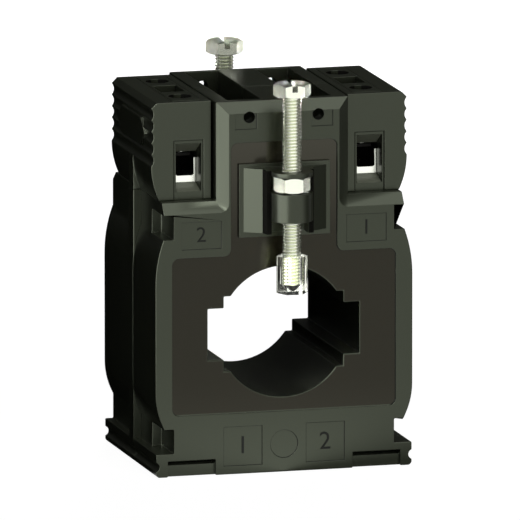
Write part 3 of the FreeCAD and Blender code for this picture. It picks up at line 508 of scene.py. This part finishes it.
# %% Copper with its turns
TURNS = 420.0
WIRE_RELIEF = 0.1 * MM
winding_low, winding_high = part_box("secondary_winding")
winding_middle = (Vector(winding_low) + Vector(winding_high)) / 2
winding_copper, tree, shader = new_finish("winding_copper", (0.55, 0.20, 0.07), 0.30, metallic=1.0)
place = tree.nodes.new("ShaderNodeTexCoord")
centre = tree.nodes.new("ShaderNodeMapping")
centre.inputs["Location"].default_value = (-winding_middle.x, winding_middle.z, 0)
centre.inputs["Rotation"].default_value = (math.radians(90), 0, 0)
spokes = tree.nodes.new("ShaderNodeTexGradient")
spokes.gradient_type = "RADIAL"
tree.links.new(place.outputs["Object"], centre.inputs["Vector"])
tree.links.new(centre.outputs["Vector"], spokes.inputs["Vector"])
wave = combined(tree, "SINE", combined(tree, "MULTIPLY", spokes.outputs["Fac"], TURNS * math.tau), 0.0)
rounded = spread(tree, wave, 0.5, 1.0)
tree.links.new(two_tones(tree, rounded, (0.30, 0.09, 0.03), (0.62, 0.25, 0.10)), shader.inputs["Base Color"])
relief(tree, shader, rounded, WIRE_RELIEF)
print("Winding turns:", int(TURNS))


# %% [markdown]
# ## Dressing the CAD pieces
# Pieces whose CAD shape is already right keep their mesh and only get a finish. The record
# names a material slot for each node, so one table from slot to finish dresses them all.

# %% Give every node its finish
finish_of_slot = {
    "case_plastic": case_plastic,
    "core_steel": core_steel,
    "copper_winding": winding_copper,
    "lead_sleeve": lead_sleeve,
    "plated_steel": terminal_steel,
    "screw_steel": screw_steel,
    "clear_plastic": clear_plastic,
}
for name, slot_name in slot_of.items():
    node = frame["nodes"][name]
    node.data.materials.clear()
    node.data.materials.append(finish_of_slot[slot_name])
print("Dressed nodes:", len(slot_of))


# %% [markdown]
# ## Rounded edges for the moulded pieces
# A CAD solid has perfectly sharp edges, and no moulded or stamped piece has. The small radius
# on each edge is what catches the light and draws the bright lines in the picture. Rounding the
# CAD node itself isn't allowed, so a copy of its mesh is made, its loose triangles are merged,
# its flat areas are dissolved into whole faces, and a Bevel modifier rounds each edge by a
# weight: full on the outer corners, less on shallow recesses.

# %% Helpers for copies and finished pieces
MERGE_DISTANCE = 0.002 * MM
FLAT_WITHIN = math.radians(0.6)


def take(piece):
    """Selects one piece and makes it active."""
    clear_selection()
    piece.select_set(True)
    bpy.context.view_layer.objects.active = piece


def stand_for(piece, node_name):
    """The finished piece takes over a CAD node: its place, its body and the finish of its slot."""
    piece.name = node_name + "_shape"
    if not piece.data.materials:
        piece.data.materials.append(finish_of_slot[slot_of[node_name]])
    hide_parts(node_name)
    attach(piece, body_of[node_name])
    if slot_of[node_name] == "screw_steel":
        metal_things.objects.link(piece)
    elif slot_of[node_name] != "plated_steel":
        plastic_things.objects.link(piece)


def copy_of(node_name):
    """A copy of a CAD node's mesh, merged, with its flat areas as whole faces."""
    piece = bpy.data.objects.new(node_name + "_shape", frame["nodes"][node_name].data.copy())
    bpy.context.scene.collection.objects.link(piece)
    take(piece)
    bpy.ops.object.mode_set(mode="EDIT")
    bpy.ops.mesh.select_all(action="SELECT")
    bpy.ops.mesh.remove_doubles(threshold=MERGE_DISTANCE)
    bpy.ops.mesh.dissolve_limited(angle_limit=FLAT_WITHIN)
    bpy.ops.object.mode_set(mode="OBJECT")
    return piece


print("Helpers ready for", len(frame["nodes"]), "nodes")

# %% The rounding itself
SHARP_FROM = math.radians(30)
SMOOTH_UP_TO = math.radians(40)


def rounded_edges(piece, width, weight, segments=2):
    """Rounds the piece's edges; weight gives each sharp edge's share of the width."""
    mesh = piece.data
    mesher = bmesh.new()
    mesher.from_mesh(mesh)
    layer = mesher.edges.layers.float.new("bevel_weight_edge")
    rounded_count = 0
    for edge in mesher.edges:
        if len(edge.link_faces) == 2 and edge.calc_face_angle(0) > SHARP_FROM:
            edge[layer] = weight((edge.verts[0].co + edge.verts[1].co) / 2, edge)
            rounded_count += edge[layer] > 0
    mesher.to_mesh(mesh)
    mesher.free()
    take(piece)
    bevel = piece.modifiers.new("rounding", "BEVEL")
    bevel.limit_method = "WEIGHT"
    bevel.width = width
    bevel.segments = segments
    bevel.use_clamp_overlap = False
    bpy.ops.object.modifier_apply(modifier=bevel.name)
    bpy.ops.object.shade_smooth_by_angle(angle=SMOOTH_UP_TO)
    flatten = piece.modifiers.new("flat_faces", "WEIGHTED_NORMAL")
    flatten.keep_sharp = True
    bpy.ops.object.modifier_apply(modifier=flatten.name)
    return rounded_count


def evenly(middle, edge):
    """The same rounding on every sharp edge."""
    return 1.0


print("Edges sharper than", round(math.degrees(SHARP_FROM)), "degrees are rounded")

# %% [markdown]
# ## The two shells
# The front and rear shells are the largest pieces. Their corners and bevels get a full
# rounding, the marking fields and the shallow panel a finer one because they are only a few
# tenths of a millimetre deep. Inside the window the two shells meet flush, so the joint there
# stays sharp and doesn't show.

# %% Each edge's share of the rounding
CASE_ROUNDING = 0.22 * MM
FACE_MARGIN = 1.0 * MM
FLANK_START = 25.6 * MM
FOOT_EDGE = 0.4 * MM
SHORT_EDGE = 0.5 * MM
ON_PLANE = 0.1 * MM
RECESS_SHARE = 0.4
SHORT_SHARE = 0.5
WINDOW_REACH = 18 * MM
window_middle = Vector((0, 0, 30 * MM))
shell_low, shell_high = [Vector(corner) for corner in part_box("front_shell")]
face_y = abs(shell_low.y)
parting_y = shell_high.y


def round_the_window(place):
    """Whether a place lies within the window's reach, seen from the front."""
    return (Vector((place.x, 0, place.z)) - window_middle).length < WINDOW_REACH


def shell_weight(middle, edge):
    """A full rounding outside and round the window, a fine one on the shallow recesses."""
    near_face = face_y - abs(middle.y) < FACE_MARGIN
    inside = abs(middle.x) < FLANK_START and FOOT_EDGE < middle.z
    if near_face and inside and not round_the_window(middle):
        return RECESS_SHARE
    if round_the_window(middle):
        return 0.0 if abs(middle.y - parting_y) < ON_PLANE else 1.0
    shortest = min(neighbour.calc_length() for vert in edge.verts for neighbour in vert.link_edges)
    return 1.0 if shortest > SHORT_EDGE else SHORT_SHARE


print("The case's face is at y in mm:", round(-face_y / MM, 2))

# %% [markdown]
# ## Polish and painted shade on the shells
# The panel's plane is found by its depth below the face and gets the polished finish. The steep
# little walls round the panel and the marking fields get painted shade, a dark line like a drawn
# one. They are found by their depth and their lean.

# %% Polish the panel
PANEL_DEPTH = 0.5 * MM
DEPTH_PLAY = 0.02 * MM
WALL_START = 0.1 * MM
WALL_END = 0.55 * MM
FLAT_NORMAL = 0.99
WALL_NORMAL = 0.93


def polish_panel_and_shade_walls(piece):
    """Polishes the panel's plane and paints shade on the steep little walls of the recesses."""
    piece.data.materials.clear()
    for finish in (case_plastic, panel_plastic, painted_shade_plastic):
        piece.data.materials.append(finish)
    polished = 0
    for face in piece.data.polygons:
        depth = face_y - abs(face.center.y)
        deepest = face_y - min(abs(piece.data.vertices[i].co.y) for i in face.vertices)
        inside = abs(face.center.x) < FLANK_START and not round_the_window(face.center)
        shallow = WALL_START < depth and deepest < WALL_END
        if abs(depth - PANEL_DEPTH) < DEPTH_PLAY and abs(face.normal.y) > FLAT_NORMAL:
            face.material_index = 1
            polished += 1
        # Painted shade on the steep little walls.
        elif shallow and inside and abs(face.normal.y) < WALL_NORMAL:
            face.material_index = 2
    return polished


print("Panel depth in mm:", PANEL_DEPTH / MM)

# %% [markdown]
# ## The shoulder's inner corner
# Where the bevel beside the neck meets the bevel above the ledge, the real corner is rounded at
# the face and runs out to a point at the back, like part of a cone. The edge between the two
# bevels is rounded in edit mode, and the new points at its back end are drawn together again.

# %% Round the corner and finish both shells
CORNER_WIDTH = 1.5 * MM
CORNER_SEGMENTS = 6
SAME_PLACE = 0.05 * MM
CORNER_FRONT = Vector((12.0, 21.0, 55.99)) * MM
CORNER_BACK = Vector((14.4, 19.1, 58.39)) * MM


def fan_corner(shell, x_side, y_side):
    """Rounds the inner corner of the shoulder's bevel at the face and lets it run out to a point."""
    front = Vector((CORNER_FRONT.x * x_side, CORNER_FRONT.y * y_side, CORNER_FRONT.z))
    behind = Vector((CORNER_BACK.x * x_side, CORNER_BACK.y * y_side, CORNER_BACK.z))
    take(shell)
    bpy.ops.object.mode_set(mode="EDIT")
    bpy.ops.mesh.select_all(action="DESELECT")
    bpy.ops.mesh.select_mode(type="EDGE")
    bpy.ops.object.mode_set(mode="OBJECT")
    found = 0
    for edge in shell.data.edges:
        ends = [shell.data.vertices[i].co for i in edge.vertices]
        at_front = min((end - front).length for end in ends) < SAME_PLACE
        at_back = min((end - behind).length for end in ends) < SAME_PLACE
        if at_front and at_back:
            edge.select = True
            found += 1
    bpy.ops.object.mode_set(mode="EDIT")
    bpy.ops.mesh.bevel(offset=CORNER_WIDTH, segments=CORNER_SEGMENTS, profile=0.5, affect="EDGES",
                       clamp_overlap=False)
    bpy.ops.object.mode_set(mode="OBJECT")
    for vert in shell.data.vertices:
        if vert.select and abs(vert.co.y - behind.y) < SAME_PLACE:
            vert.co = behind
    bpy.ops.object.mode_set(mode="EDIT")
    bpy.ops.mesh.select_all(action="SELECT")
    bpy.ops.mesh.remove_doubles(threshold=MERGE_DISTANCE)
    bpy.ops.object.mode_set(mode="OBJECT")
    return found


for name in ("front_shell", "rear_shell"):
    shell = copy_of(name)
    y_side = -1 if name == "front_shell" else 1
    print("Corners rounded:", [fan_corner(shell, x_side, y_side) for x_side in (-1, 1)])
    count = rounded_edges(shell, CASE_ROUNDING, shell_weight)
    print(name, "edges rounded:", count, "faces polished:", polish_panel_and_shade_walls(shell))
    stand_for(shell, name)

# %% [markdown]
# ## Terminal blocks, inserts and carriers
# These smaller moulded pieces get the same treatment with one even radius. The crests of the
# grooved grips are sharp edges in the CAD model, and their rounding gives the row of small
# highlights down the corner of each block. On the thin grips it can push a point outwards, so
# the mesh is held to the CAD piece's own box afterwards.
#
# Two places get painted light and shade. The slopes of each wire funnel get a painted highlight, a pale
# plastic, where they face up and down, and near-black painted shade where they face sideways. The carrier's
# steep cheeks behind the nut get near-black painted shade.

# %% Helpers for the smaller mouldings
SMALL_ROUNDING = 0.19 * MM
FINE_ROUNDING = 0.08 * MM
LEAN_LEAST = 0.3
LEAN_MOST = 0.95
SQUARE_ON = 0.1
FUNNEL_FACE = 1.0 * MM * MM
CHEEK_X = (3.7 * MM, 5.45 * MM)
CHEEK_Y = (23.6 * MM, 26.6 * MM)
CHEEK_LOW = 54.8 * MM
CHEEK_NORMAL = 0.7


def keep_in_box(piece, node_name):
    """Draws back what the rounding of a thin edge pushed past the CAD piece's own box."""
    low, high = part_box(node_name)
    for vert in piece.data.vertices:
        for axis in range(3):
            vert.co[axis] = min(max(vert.co[axis], low[axis]), high[axis])


def leans(part):
    """Whether a part of a normal shows a slope: neither square on nor edge on."""
    return LEAN_LEAST < abs(part) < LEAN_MOST


def paint_funnel_light_and_shade(insert):
    """Painted highlight on the slopes above and below in the wire funnels, black painted shade on those at
    their sides.
    """
    insert.data.materials.append(painted_light_funnel_plastic)
    insert.data.materials.append(painted_black_shade_plastic)
    for face in insert.data.polygons:
        x, y, z = face.normal
        if abs(x) > LEAN_LEAST and leans(y):
            face.material_index = 2
        elif leans(z) and abs(x) < SQUARE_ON and face.area > FUNNEL_FACE:
            face.material_index = 1


def paint_cheek_shade(carrier):
    """Black painted shade on the cheeks in the carrier's recess beside the collar."""
    carrier.data.materials.append(painted_black_shade_plastic)
    for face in carrier.data.polygons:
        x, y, z = (abs(value) for value in face.center)
        in_cheek = CHEEK_X[0] < x < CHEEK_X[1] and CHEEK_Y[0] < y < CHEEK_Y[1] and CHEEK_LOW < z
        if in_cheek and face.normal.z < CHEEK_NORMAL:
            face.material_index = 1


print("Rounding of blocks and of fine mouldings in mm:", SMALL_ROUNDING / MM, FINE_ROUNDING / MM)

# %% Round the smaller mouldings
for name, width in (("terminal_block_left", SMALL_ROUNDING), ("terminal_block_right", SMALL_ROUNDING),
                    ("terminal_insert_left", FINE_ROUNDING), ("terminal_insert_right", FINE_ROUNDING),
                    ("front_carrier", FINE_ROUNDING), ("rear_carrier", FINE_ROUNDING)):
    moulding = copy_of(name)
    count = rounded_edges(moulding, width, evenly)
    keep_in_box(moulding, name)
    moulding.data.materials.clear()
    moulding.data.materials.append(case_plastic)
    if "insert" in name:
        paint_funnel_light_and_shade(moulding)
    if "carrier" in name:
        paint_cheek_shade(moulding)
    print(name, "edges rounded:", count)
    stand_for(moulding, name)

# %% [markdown]
# ## The stamped metal in the terminals
# The channel, the tapped bar and the pads are stamped and plated. Stamping leaves a smaller
# radius than moulding does, so they get a very fine rounding. Only the channel's floor and its
# cut ends catch light, and those are bright plated steel; all the rest gets painted shade, the near-black
# steel.

# %% Round the stamped pieces
STAMPED_ROUNDING = 0.05 * MM
FACES_UP = 0.9
for side in ("left", "right"):
    for name in ("terminal_channel_" + side, "nut_bar_" + side, "pressure_pad_%s_front" % side,
                 "pressure_pad_%s_rear" % side):
        stamping = copy_of(name)
        count = rounded_edges(stamping, STAMPED_ROUNDING, evenly, segments=1)
        stamping.data.materials.clear()
        # The near-black steel is painted shade; the channel's floor and cut ends get the bright plated
        # steel.
        stamping.data.materials.append(painted_shade_steel)
        if "channel" in name:
            stamping.data.materials.append(terminal_steel)
            for face in stamping.data.polygons:
                if abs(face.normal.y) > LEAN_LEAST or face.normal.z > FACES_UP:
                    face.material_index = 1
        print(name, "edges rounded:", count)
        stand_for(stamping, name)


# %% [markdown]
# ## A real screw thread
# The thread is the picture's most striking detail. The outline of one single ridge, from root to
# root and as high as the thread's pitch, is carried round and up by a Screw modifier. The open
# ends are then cut off flat and filled with a bisect at each end. A right-hand thread rises to
# the right on the side that faces the viewer.

# %% Turn an outline
TOUCHING = 0.0005 * MM
ON_AXIS = 0.001 * MM


def new_outline(name, points):
    """An outline in X and Z, ready to be turned about the Z axis."""
    mesh = bpy.data.meshes.new(name)
    edges = [(i, i + 1) for i in range(len(points) - 1)]
    mesh.from_pydata([(x, 0, z) for x, z in points], edges, [])
    piece = bpy.data.objects.new(name, mesh)
    bpy.context.scene.collection.objects.link(piece)
    take(piece)
    return piece


def mend(piece):
    """Merges what touches and turns all faces outwards."""
    take(piece)
    bpy.ops.object.mode_set(mode="EDIT")
    bpy.ops.mesh.select_all(action="SELECT")
    bpy.ops.mesh.remove_doubles(threshold=TOUCHING)
    bpy.ops.mesh.normals_make_consistent(inside=False)
    bpy.ops.object.mode_set(mode="OBJECT")


def turned(name, points, steps=48):
    """A solid of revolution from an outline that starts and ends on the axis."""
    piece = new_outline(name, points)
    spin = piece.modifiers.new("turning", "SCREW")
    spin.axis = "Z"
    spin.angle = math.tau
    spin.steps = spin.render_steps = steps
    spin.use_merge_vertices = True
    spin.merge_threshold = ON_AXIS
    bpy.ops.object.modifier_apply(modifier=spin.name)
    mend(piece)
    return piece


print("Lathe ready")

# %% Cut a thread
EXTRA_TURNS = 3
START_BELOW = 1.53


def cut_flat(piece, z, keep_above):
    """Cuts the piece at a height and closes the cut."""
    take(piece)
    bpy.ops.object.mode_set(mode="EDIT")
    bpy.ops.mesh.select_all(action="SELECT")
    bpy.ops.mesh.bisect(plane_co=(0, 0, z), plane_no=(0, 0, 1), use_fill=True,
                        clear_inner=keep_above, clear_outer=not keep_above, threshold=TOUCHING)
    bpy.ops.object.mode_set(mode="OBJECT")


def threaded_rod(name, low, high, outer, root, pitch, steps=24):
    """A right-hand thread between two heights on the Z axis."""
    depth = outer - root
    # Each point is a radius and a height above the crest's middle, in pitches.
    half_ridge = [(outer, 0.10), (outer - 0.18 * depth, 0.24), (outer - 0.7 * depth, 0.40), (root, 0.5)]
    ridge = [(x, -z * pitch) for x, z in reversed(half_ridge)] + [(x, z * pitch) for x, z in half_ridge]
    start = low - START_BELOW * pitch
    piece = new_outline(name, [(x, start + z) for x, z in ridge])
    turns = math.ceil((high - low) / pitch) + EXTRA_TURNS
    helix = piece.modifiers.new("thread", "SCREW")
    helix.axis = "Z"
    helix.angle = math.tau
    helix.screw_offset = pitch
    helix.iterations = turns
    helix.steps = helix.render_steps = steps
    bpy.ops.object.modifier_apply(modifier=helix.name)
    mend(piece)
    cut_flat(piece, low, keep_above=True)
    cut_flat(piece, high, keep_above=False)
    mend(piece)
    return piece


print("Thread helper ready")

# %% Shape, join and place
def shaped_by(piece, tool, operation):
    """Cuts the piece by a tool or keeps what both share; the tool is used up."""
    take(piece)
    step = piece.modifiers.new("shaping", "BOOLEAN")
    step.operation = operation
    step.solver = "EXACT"
    step.object = tool
    bpy.ops.object.modifier_apply(modifier=step.name)
    bpy.data.objects.remove(tool, do_unlink=True)
    return piece


def put_together(pieces):
    """Joins pieces into the first one."""
    clear_selection()
    for piece in pieces:
        piece.select_set(True)
    bpy.context.view_layer.objects.active = pieces[0]
    bpy.ops.object.join()
    return pieces[0]


def copy_to(pattern, node_name, turn=0.0):
    """A copy of a pattern with its own mesh, turned and moved to a CAD node's axis."""
    low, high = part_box(node_name)
    piece = bpy.data.objects.new(node_name + "_shape", pattern.data.copy())
    bpy.context.scene.collection.objects.link(piece)
    there = Matrix.Translation(((low[0] + high[0]) / 2, (low[1] + high[1]) / 2, 0))
    piece.data.transform(there @ Matrix.Rotation(math.radians(turn), 4, "Z"))
    stand_for(piece, node_name)
    return piece


print("Helpers for joining and placing ready")

# %% [markdown]
# ## The clamping screws
# Each screw has a slotted hexagon head with turned chamfers, a long M4 thread and a pointed
# end. The chamfers come from keeping only what a hexagonal prism shares with a turned disc, and
# the slot is cut by a plain box. The hexagon starts from a cylinder primitive with six sides.

# %% Hexagons and driver slots
CHAMFER_RISE = math.tan(math.radians(30))
CHAMFER_START = 0.96
CORNER_ROOM = 1.03
BEYOND = 0.01 * MM
SLOT_ROOM = 0.5 * MM
SLOT_LENGTH = 10 * MM


def hexagonal_blank(name, across_flats, low, high):
    """A six-sided bar on the Z axis with two corners along X."""
    clear_selection()
    bpy.ops.mesh.primitive_cylinder_add(vertices=6, radius=across_flats / math.sqrt(3), depth=high - low,
                                        location=(0, 0, (low + high) / 2), rotation=(0, 0, math.radians(30)))
    bpy.ops.object.transform_apply(location=True, rotation=True, scale=True)
    piece = bpy.context.object
    piece.name = name
    return piece


def chamfered_hexagon(name, across_flats, low, high):
    """A hexagon whose corners are turned down by 30 degrees at both ends."""
    blank = hexagonal_blank(name, across_flats, low, high)
    flat_r = across_flats / 2 * CHAMFER_START
    corner_r = across_flats / math.sqrt(3) * CORNER_ROOM
    drop = (corner_r - flat_r) * CHAMFER_RISE
    below, above = low - BEYOND, high + BEYOND
    disc = turned(name + "_disc", [(0, below), (flat_r, below), (corner_r, low + drop),
                                   (corner_r, high - drop), (flat_r, above), (0, above)], steps=72)
    return shaped_by(blank, disc, "INTERSECT")


def slotted(piece, width, length, top, depth):
    """Cuts a driver slot into the top of a head."""
    clear_selection()
    bpy.ops.mesh.primitive_cube_add(size=1.0, location=(0, 0, top + (SLOT_ROOM - depth) / 2))
    cutter = bpy.context.object
    cutter.scale = (width, length, depth + SLOT_ROOM)
    bpy.ops.object.transform_apply(location=True, rotation=True, scale=True)
    shaped_by(piece, cutter, "DIFFERENCE")


print("Chamfer rise:", round(CHAMFER_RISE, 3))

# %% Model one screw and set it twice
screw_low, screw_high = [Vector(corner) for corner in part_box("front_clamp_screw")]
SCREW_TURN = -4.5
THREAD_RADIUS = 1.99 * MM
ROOT_RADIUS = 1.58 * MM
THREAD_PITCH = 0.7 * MM
HEAD_FLATS = 7.0 * MM
HEAD_HEIGHT = 2.8 * MM
SLOT_WIDTH = 1.15 * MM
SLOT_DEPTH = 1.45 * MM
CONE_HEIGHT = 1.5 * MM
TIP_RADIUS = 0.35 * MM
CONE_OVERLAP = 0.1 * MM
HEAD_OVERLAP = 0.05 * MM
THREAD_SMOOTH = math.radians(32)


def clamp_screw():
    """The whole screw on the Z axis, at its own height."""
    top, tip = screw_high.z, screw_low.z
    head_low = top - HEAD_HEIGHT
    head = chamfered_hexagon("clamp_screw", HEAD_FLATS, head_low, top)
    slotted(head, SLOT_WIDTH, SLOT_LENGTH, top, SLOT_DEPTH)
    shank = threaded_rod("shank", tip + CONE_HEIGHT, head_low + HEAD_OVERLAP, THREAD_RADIUS,
                         ROOT_RADIUS, THREAD_PITCH)
    cone_top = tip + CONE_HEIGHT
    point = turned("point", [(0, tip), (TIP_RADIUS, tip), (ROOT_RADIUS, cone_top - CONE_OVERLAP),
                             (ROOT_RADIUS, cone_top + CONE_OVERLAP), (0, cone_top + CONE_OVERLAP)])
    return put_together([head, shank, point])


pattern = clamp_screw()
take(pattern)
bpy.ops.object.shade_smooth_by_angle(angle=THREAD_SMOOTH)
for name in ("front_clamp_screw", "rear_clamp_screw"):
    screw = copy_to(pattern, name, SCREW_TURN)
    print(name, "triangles:", sum(len(face.vertices) - 2 for face in screw.data.polygons))
bpy.data.objects.remove(pattern, do_unlink=True)

# %% [markdown]
# ## The nuts
# The nut in each carrier is a hexagon with both ends chamfered and a countersunk hole. The hole
# is a turned tool, so its countersinks are cut together with the bore.

# %% Model one nut and set it twice
NUT_FLATS = 6.7 * MM
NUT_TURN = -8.0
BORE_RADIUS = 2.03 * MM
SINK = 0.3 * MM
NUT_SMOOTH = math.radians(28)
nut_low, nut_high = [Vector(corner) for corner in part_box("front_nut")]
pattern = chamfered_hexagon("clamp_nut", NUT_FLATS, nut_low.z, nut_high.z)
bore = turned("nut_bore", [
    (0, nut_low.z - SINK), (BORE_RADIUS + 2 * SINK, nut_low.z - SINK), (BORE_RADIUS, nut_low.z + SINK),
    (BORE_RADIUS, nut_high.z - SINK), (BORE_RADIUS + 2 * SINK, nut_high.z + SINK), (0, nut_high.z + SINK)])
shaped_by(pattern, bore, "DIFFERENCE")
take(pattern)
bpy.ops.object.shade_smooth_by_angle(angle=NUT_SMOOTH)
for name in ("front_nut", "rear_nut"):
    nut = copy_to(pattern, name, NUT_TURN)
    print(name, "faces:", len(nut.data.polygons))
bpy.data.objects.remove(pattern, do_unlink=True)

# %% [markdown]
# ## The clear caps
# A clear hexagonal cap sits on each screw's end and keeps the metal off the busbar. Through it
# the thread is seen, and the bore ends in a cone that follows the screw's point. The bore is a
# turned tool again, a hair wider than the thread, and the outer edges get a small rounding
# that draws bright upright lines. The bore's own edges stay sharp.

# %% Model one cap and set it twice
CAP_FLATS = 5.8 * MM
CAP_BORE_RADIUS = 2.04 * MM
CAP_SEAT_RADIUS = 0.42 * MM
SEAT_GAP = 0.03 * MM
SEAT_SHORTER = 0.1 * MM
LEAD_IN_DEPTH = 0.25 * MM
LEAD_IN_WIDTH = 0.3 * MM
CUT_PAST = 0.05 * MM
CAP_ROUNDING = 0.1 * MM
CAP_INNER = 2.45 * MM
cap_low, cap_high = [Vector(corner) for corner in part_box("front_tip_cap")]
seat = screw_low.z - SEAT_GAP


def outer_edges(middle, edge):
    """Rounds only the edges well outside the bore."""
    return 1.0 if middle.xy.length > CAP_INNER else 0.0


pattern = hexagonal_blank("tip_cap", CAP_FLATS, cap_low.z, cap_high.z)
bore = turned("cap_bore", [
    (0, seat), (CAP_SEAT_RADIUS, seat), (CAP_BORE_RADIUS, seat + CONE_HEIGHT - SEAT_SHORTER),
    (CAP_BORE_RADIUS, cap_high.z - LEAD_IN_DEPTH), (CAP_BORE_RADIUS + LEAD_IN_WIDTH, cap_high.z + CUT_PAST),
    (0, cap_high.z + CUT_PAST)])
shaped_by(pattern, bore, "DIFFERENCE")
mend(pattern)
rounded_edges(pattern, CAP_ROUNDING, outer_edges)
for name in ("front_tip_cap", "rear_tip_cap"):
    cap = copy_to(pattern, name, SCREW_TURN)
    print(name, "faces:", len(cap.data.polygons))
bpy.data.objects.remove(pattern, do_unlink=True)

# %% [markdown]
# ## The terminal screws
# Each terminal has two short slotted screws down in their driver holes, turned back so that a
# wire can go in. Their heads are cheese heads with a rounded rim, made on the lathe like the
# rest, and their M3 threads run in the tapped bar.

# %% Model one terminal screw and set it four times
CHEESE_HEIGHT = 1.9 * MM
CHEESE_RADIUS = 2.3 * MM
RIM = 0.25 * MM
RIM_SHARE = 0.3
CHEESE_SLOT_WIDTH = 0.8 * MM
CHEESE_SLOT_DEPTH = 0.9 * MM
SMALL_THREAD_RADIUS = 1.48 * MM
SMALL_ROOT_RADIUS = 1.2 * MM
SMALL_PITCH = 0.5 * MM
CHEESE_SMOOTH = math.radians(30)
low, high = [Vector(corner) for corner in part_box("terminal_screw_left_front")]
head_low = high.z - CHEESE_HEIGHT
head = turned("terminal_screw", [
    (0, head_low), (CHEESE_RADIUS, head_low), (CHEESE_RADIUS, high.z - RIM),
    (CHEESE_RADIUS - RIM_SHARE * RIM, high.z - RIM_SHARE * RIM), (CHEESE_RADIUS - RIM, high.z), (0, high.z)])
slotted(head, SLOT_LENGTH, CHEESE_SLOT_WIDTH, high.z, CHEESE_SLOT_DEPTH)
shank = threaded_rod("terminal_shank", low.z, head_low + HEAD_OVERLAP, SMALL_THREAD_RADIUS,
                     SMALL_ROOT_RADIUS, SMALL_PITCH, steps=18)
pattern = put_together([head, shank])
take(pattern)
bpy.ops.object.shade_smooth_by_angle(angle=CHEESE_SMOOTH)
for side in ("left", "right"):
    for end in ("front", "rear"):
        copy_to(pattern, "terminal_screw_%s_%s" % (side, end))
bpy.data.objects.remove(pattern, do_unlink=True)
print("Terminal screws set: 4")

# %% [markdown]
# ## Plain numbers in the marking fields
# The two plates under the terminals and the two squares on the foot carry plain numbers. Each
# is a text object, made a mesh before it is turned upright and moved, so that its place sits in
# its mesh. It stands about a tenth of a millimetre proud of the field's floor and stays below
# the face of the case.

# %% Set the numbers
FIELD_DEPTH = 0.3 * MM
NUMBER_PROUD = 0.12 * MM
LETTER_SCALE = 1.35
STROKE_TRIM = 0.03 * MM
numbers = [("2", -17.95, 51.35, 3.4, "plate_number_left"), ("1", 17.95, 51.35, 3.4, "plate_number_right"),
           ("1", -8.98, 5.97, 4.0, "foot_number_left"), ("2", 8.98, 5.97, 4.0, "foot_number_right")]
for text, x, z, height, name in numbers:
    clear_selection()
    bpy.ops.object.text_add()
    number = bpy.context.object
    number.name = name
    number.data.body = text
    number.data.align_x = "CENTER"
    number.data.align_y = "CENTER"
    number.data.size = height * LETTER_SCALE * MM
    number.data.offset = -STROKE_TRIM
    number.data.extrude = NUMBER_PROUD / 2
    bpy.ops.object.convert(target="MESH")
    upright = Matrix.Translation((x * MM, -(face_y - FIELD_DEPTH) - NUMBER_PROUD / 2, z * MM))
    number.data.transform(upright @ Matrix.Rotation(math.radians(90), 4, "X"))
    # The numbers' dark finish is painted shade, standing in for the shade in engraved figures.
    number.data.materials.append(painted_shade_plastic)
    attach(number, "housing")
    print(name, "faces:", len(number.data.polygons))


# %% Print the sizes and finish
low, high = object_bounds()
print("Grown past the CAD box in mm:",
      [round(max(0, a - b) / MM, 3) for a, b in zip(cad_low, low)],
      [round(max(0, b - a) / MM, 3) for a, b in zip(cad_high, high)])
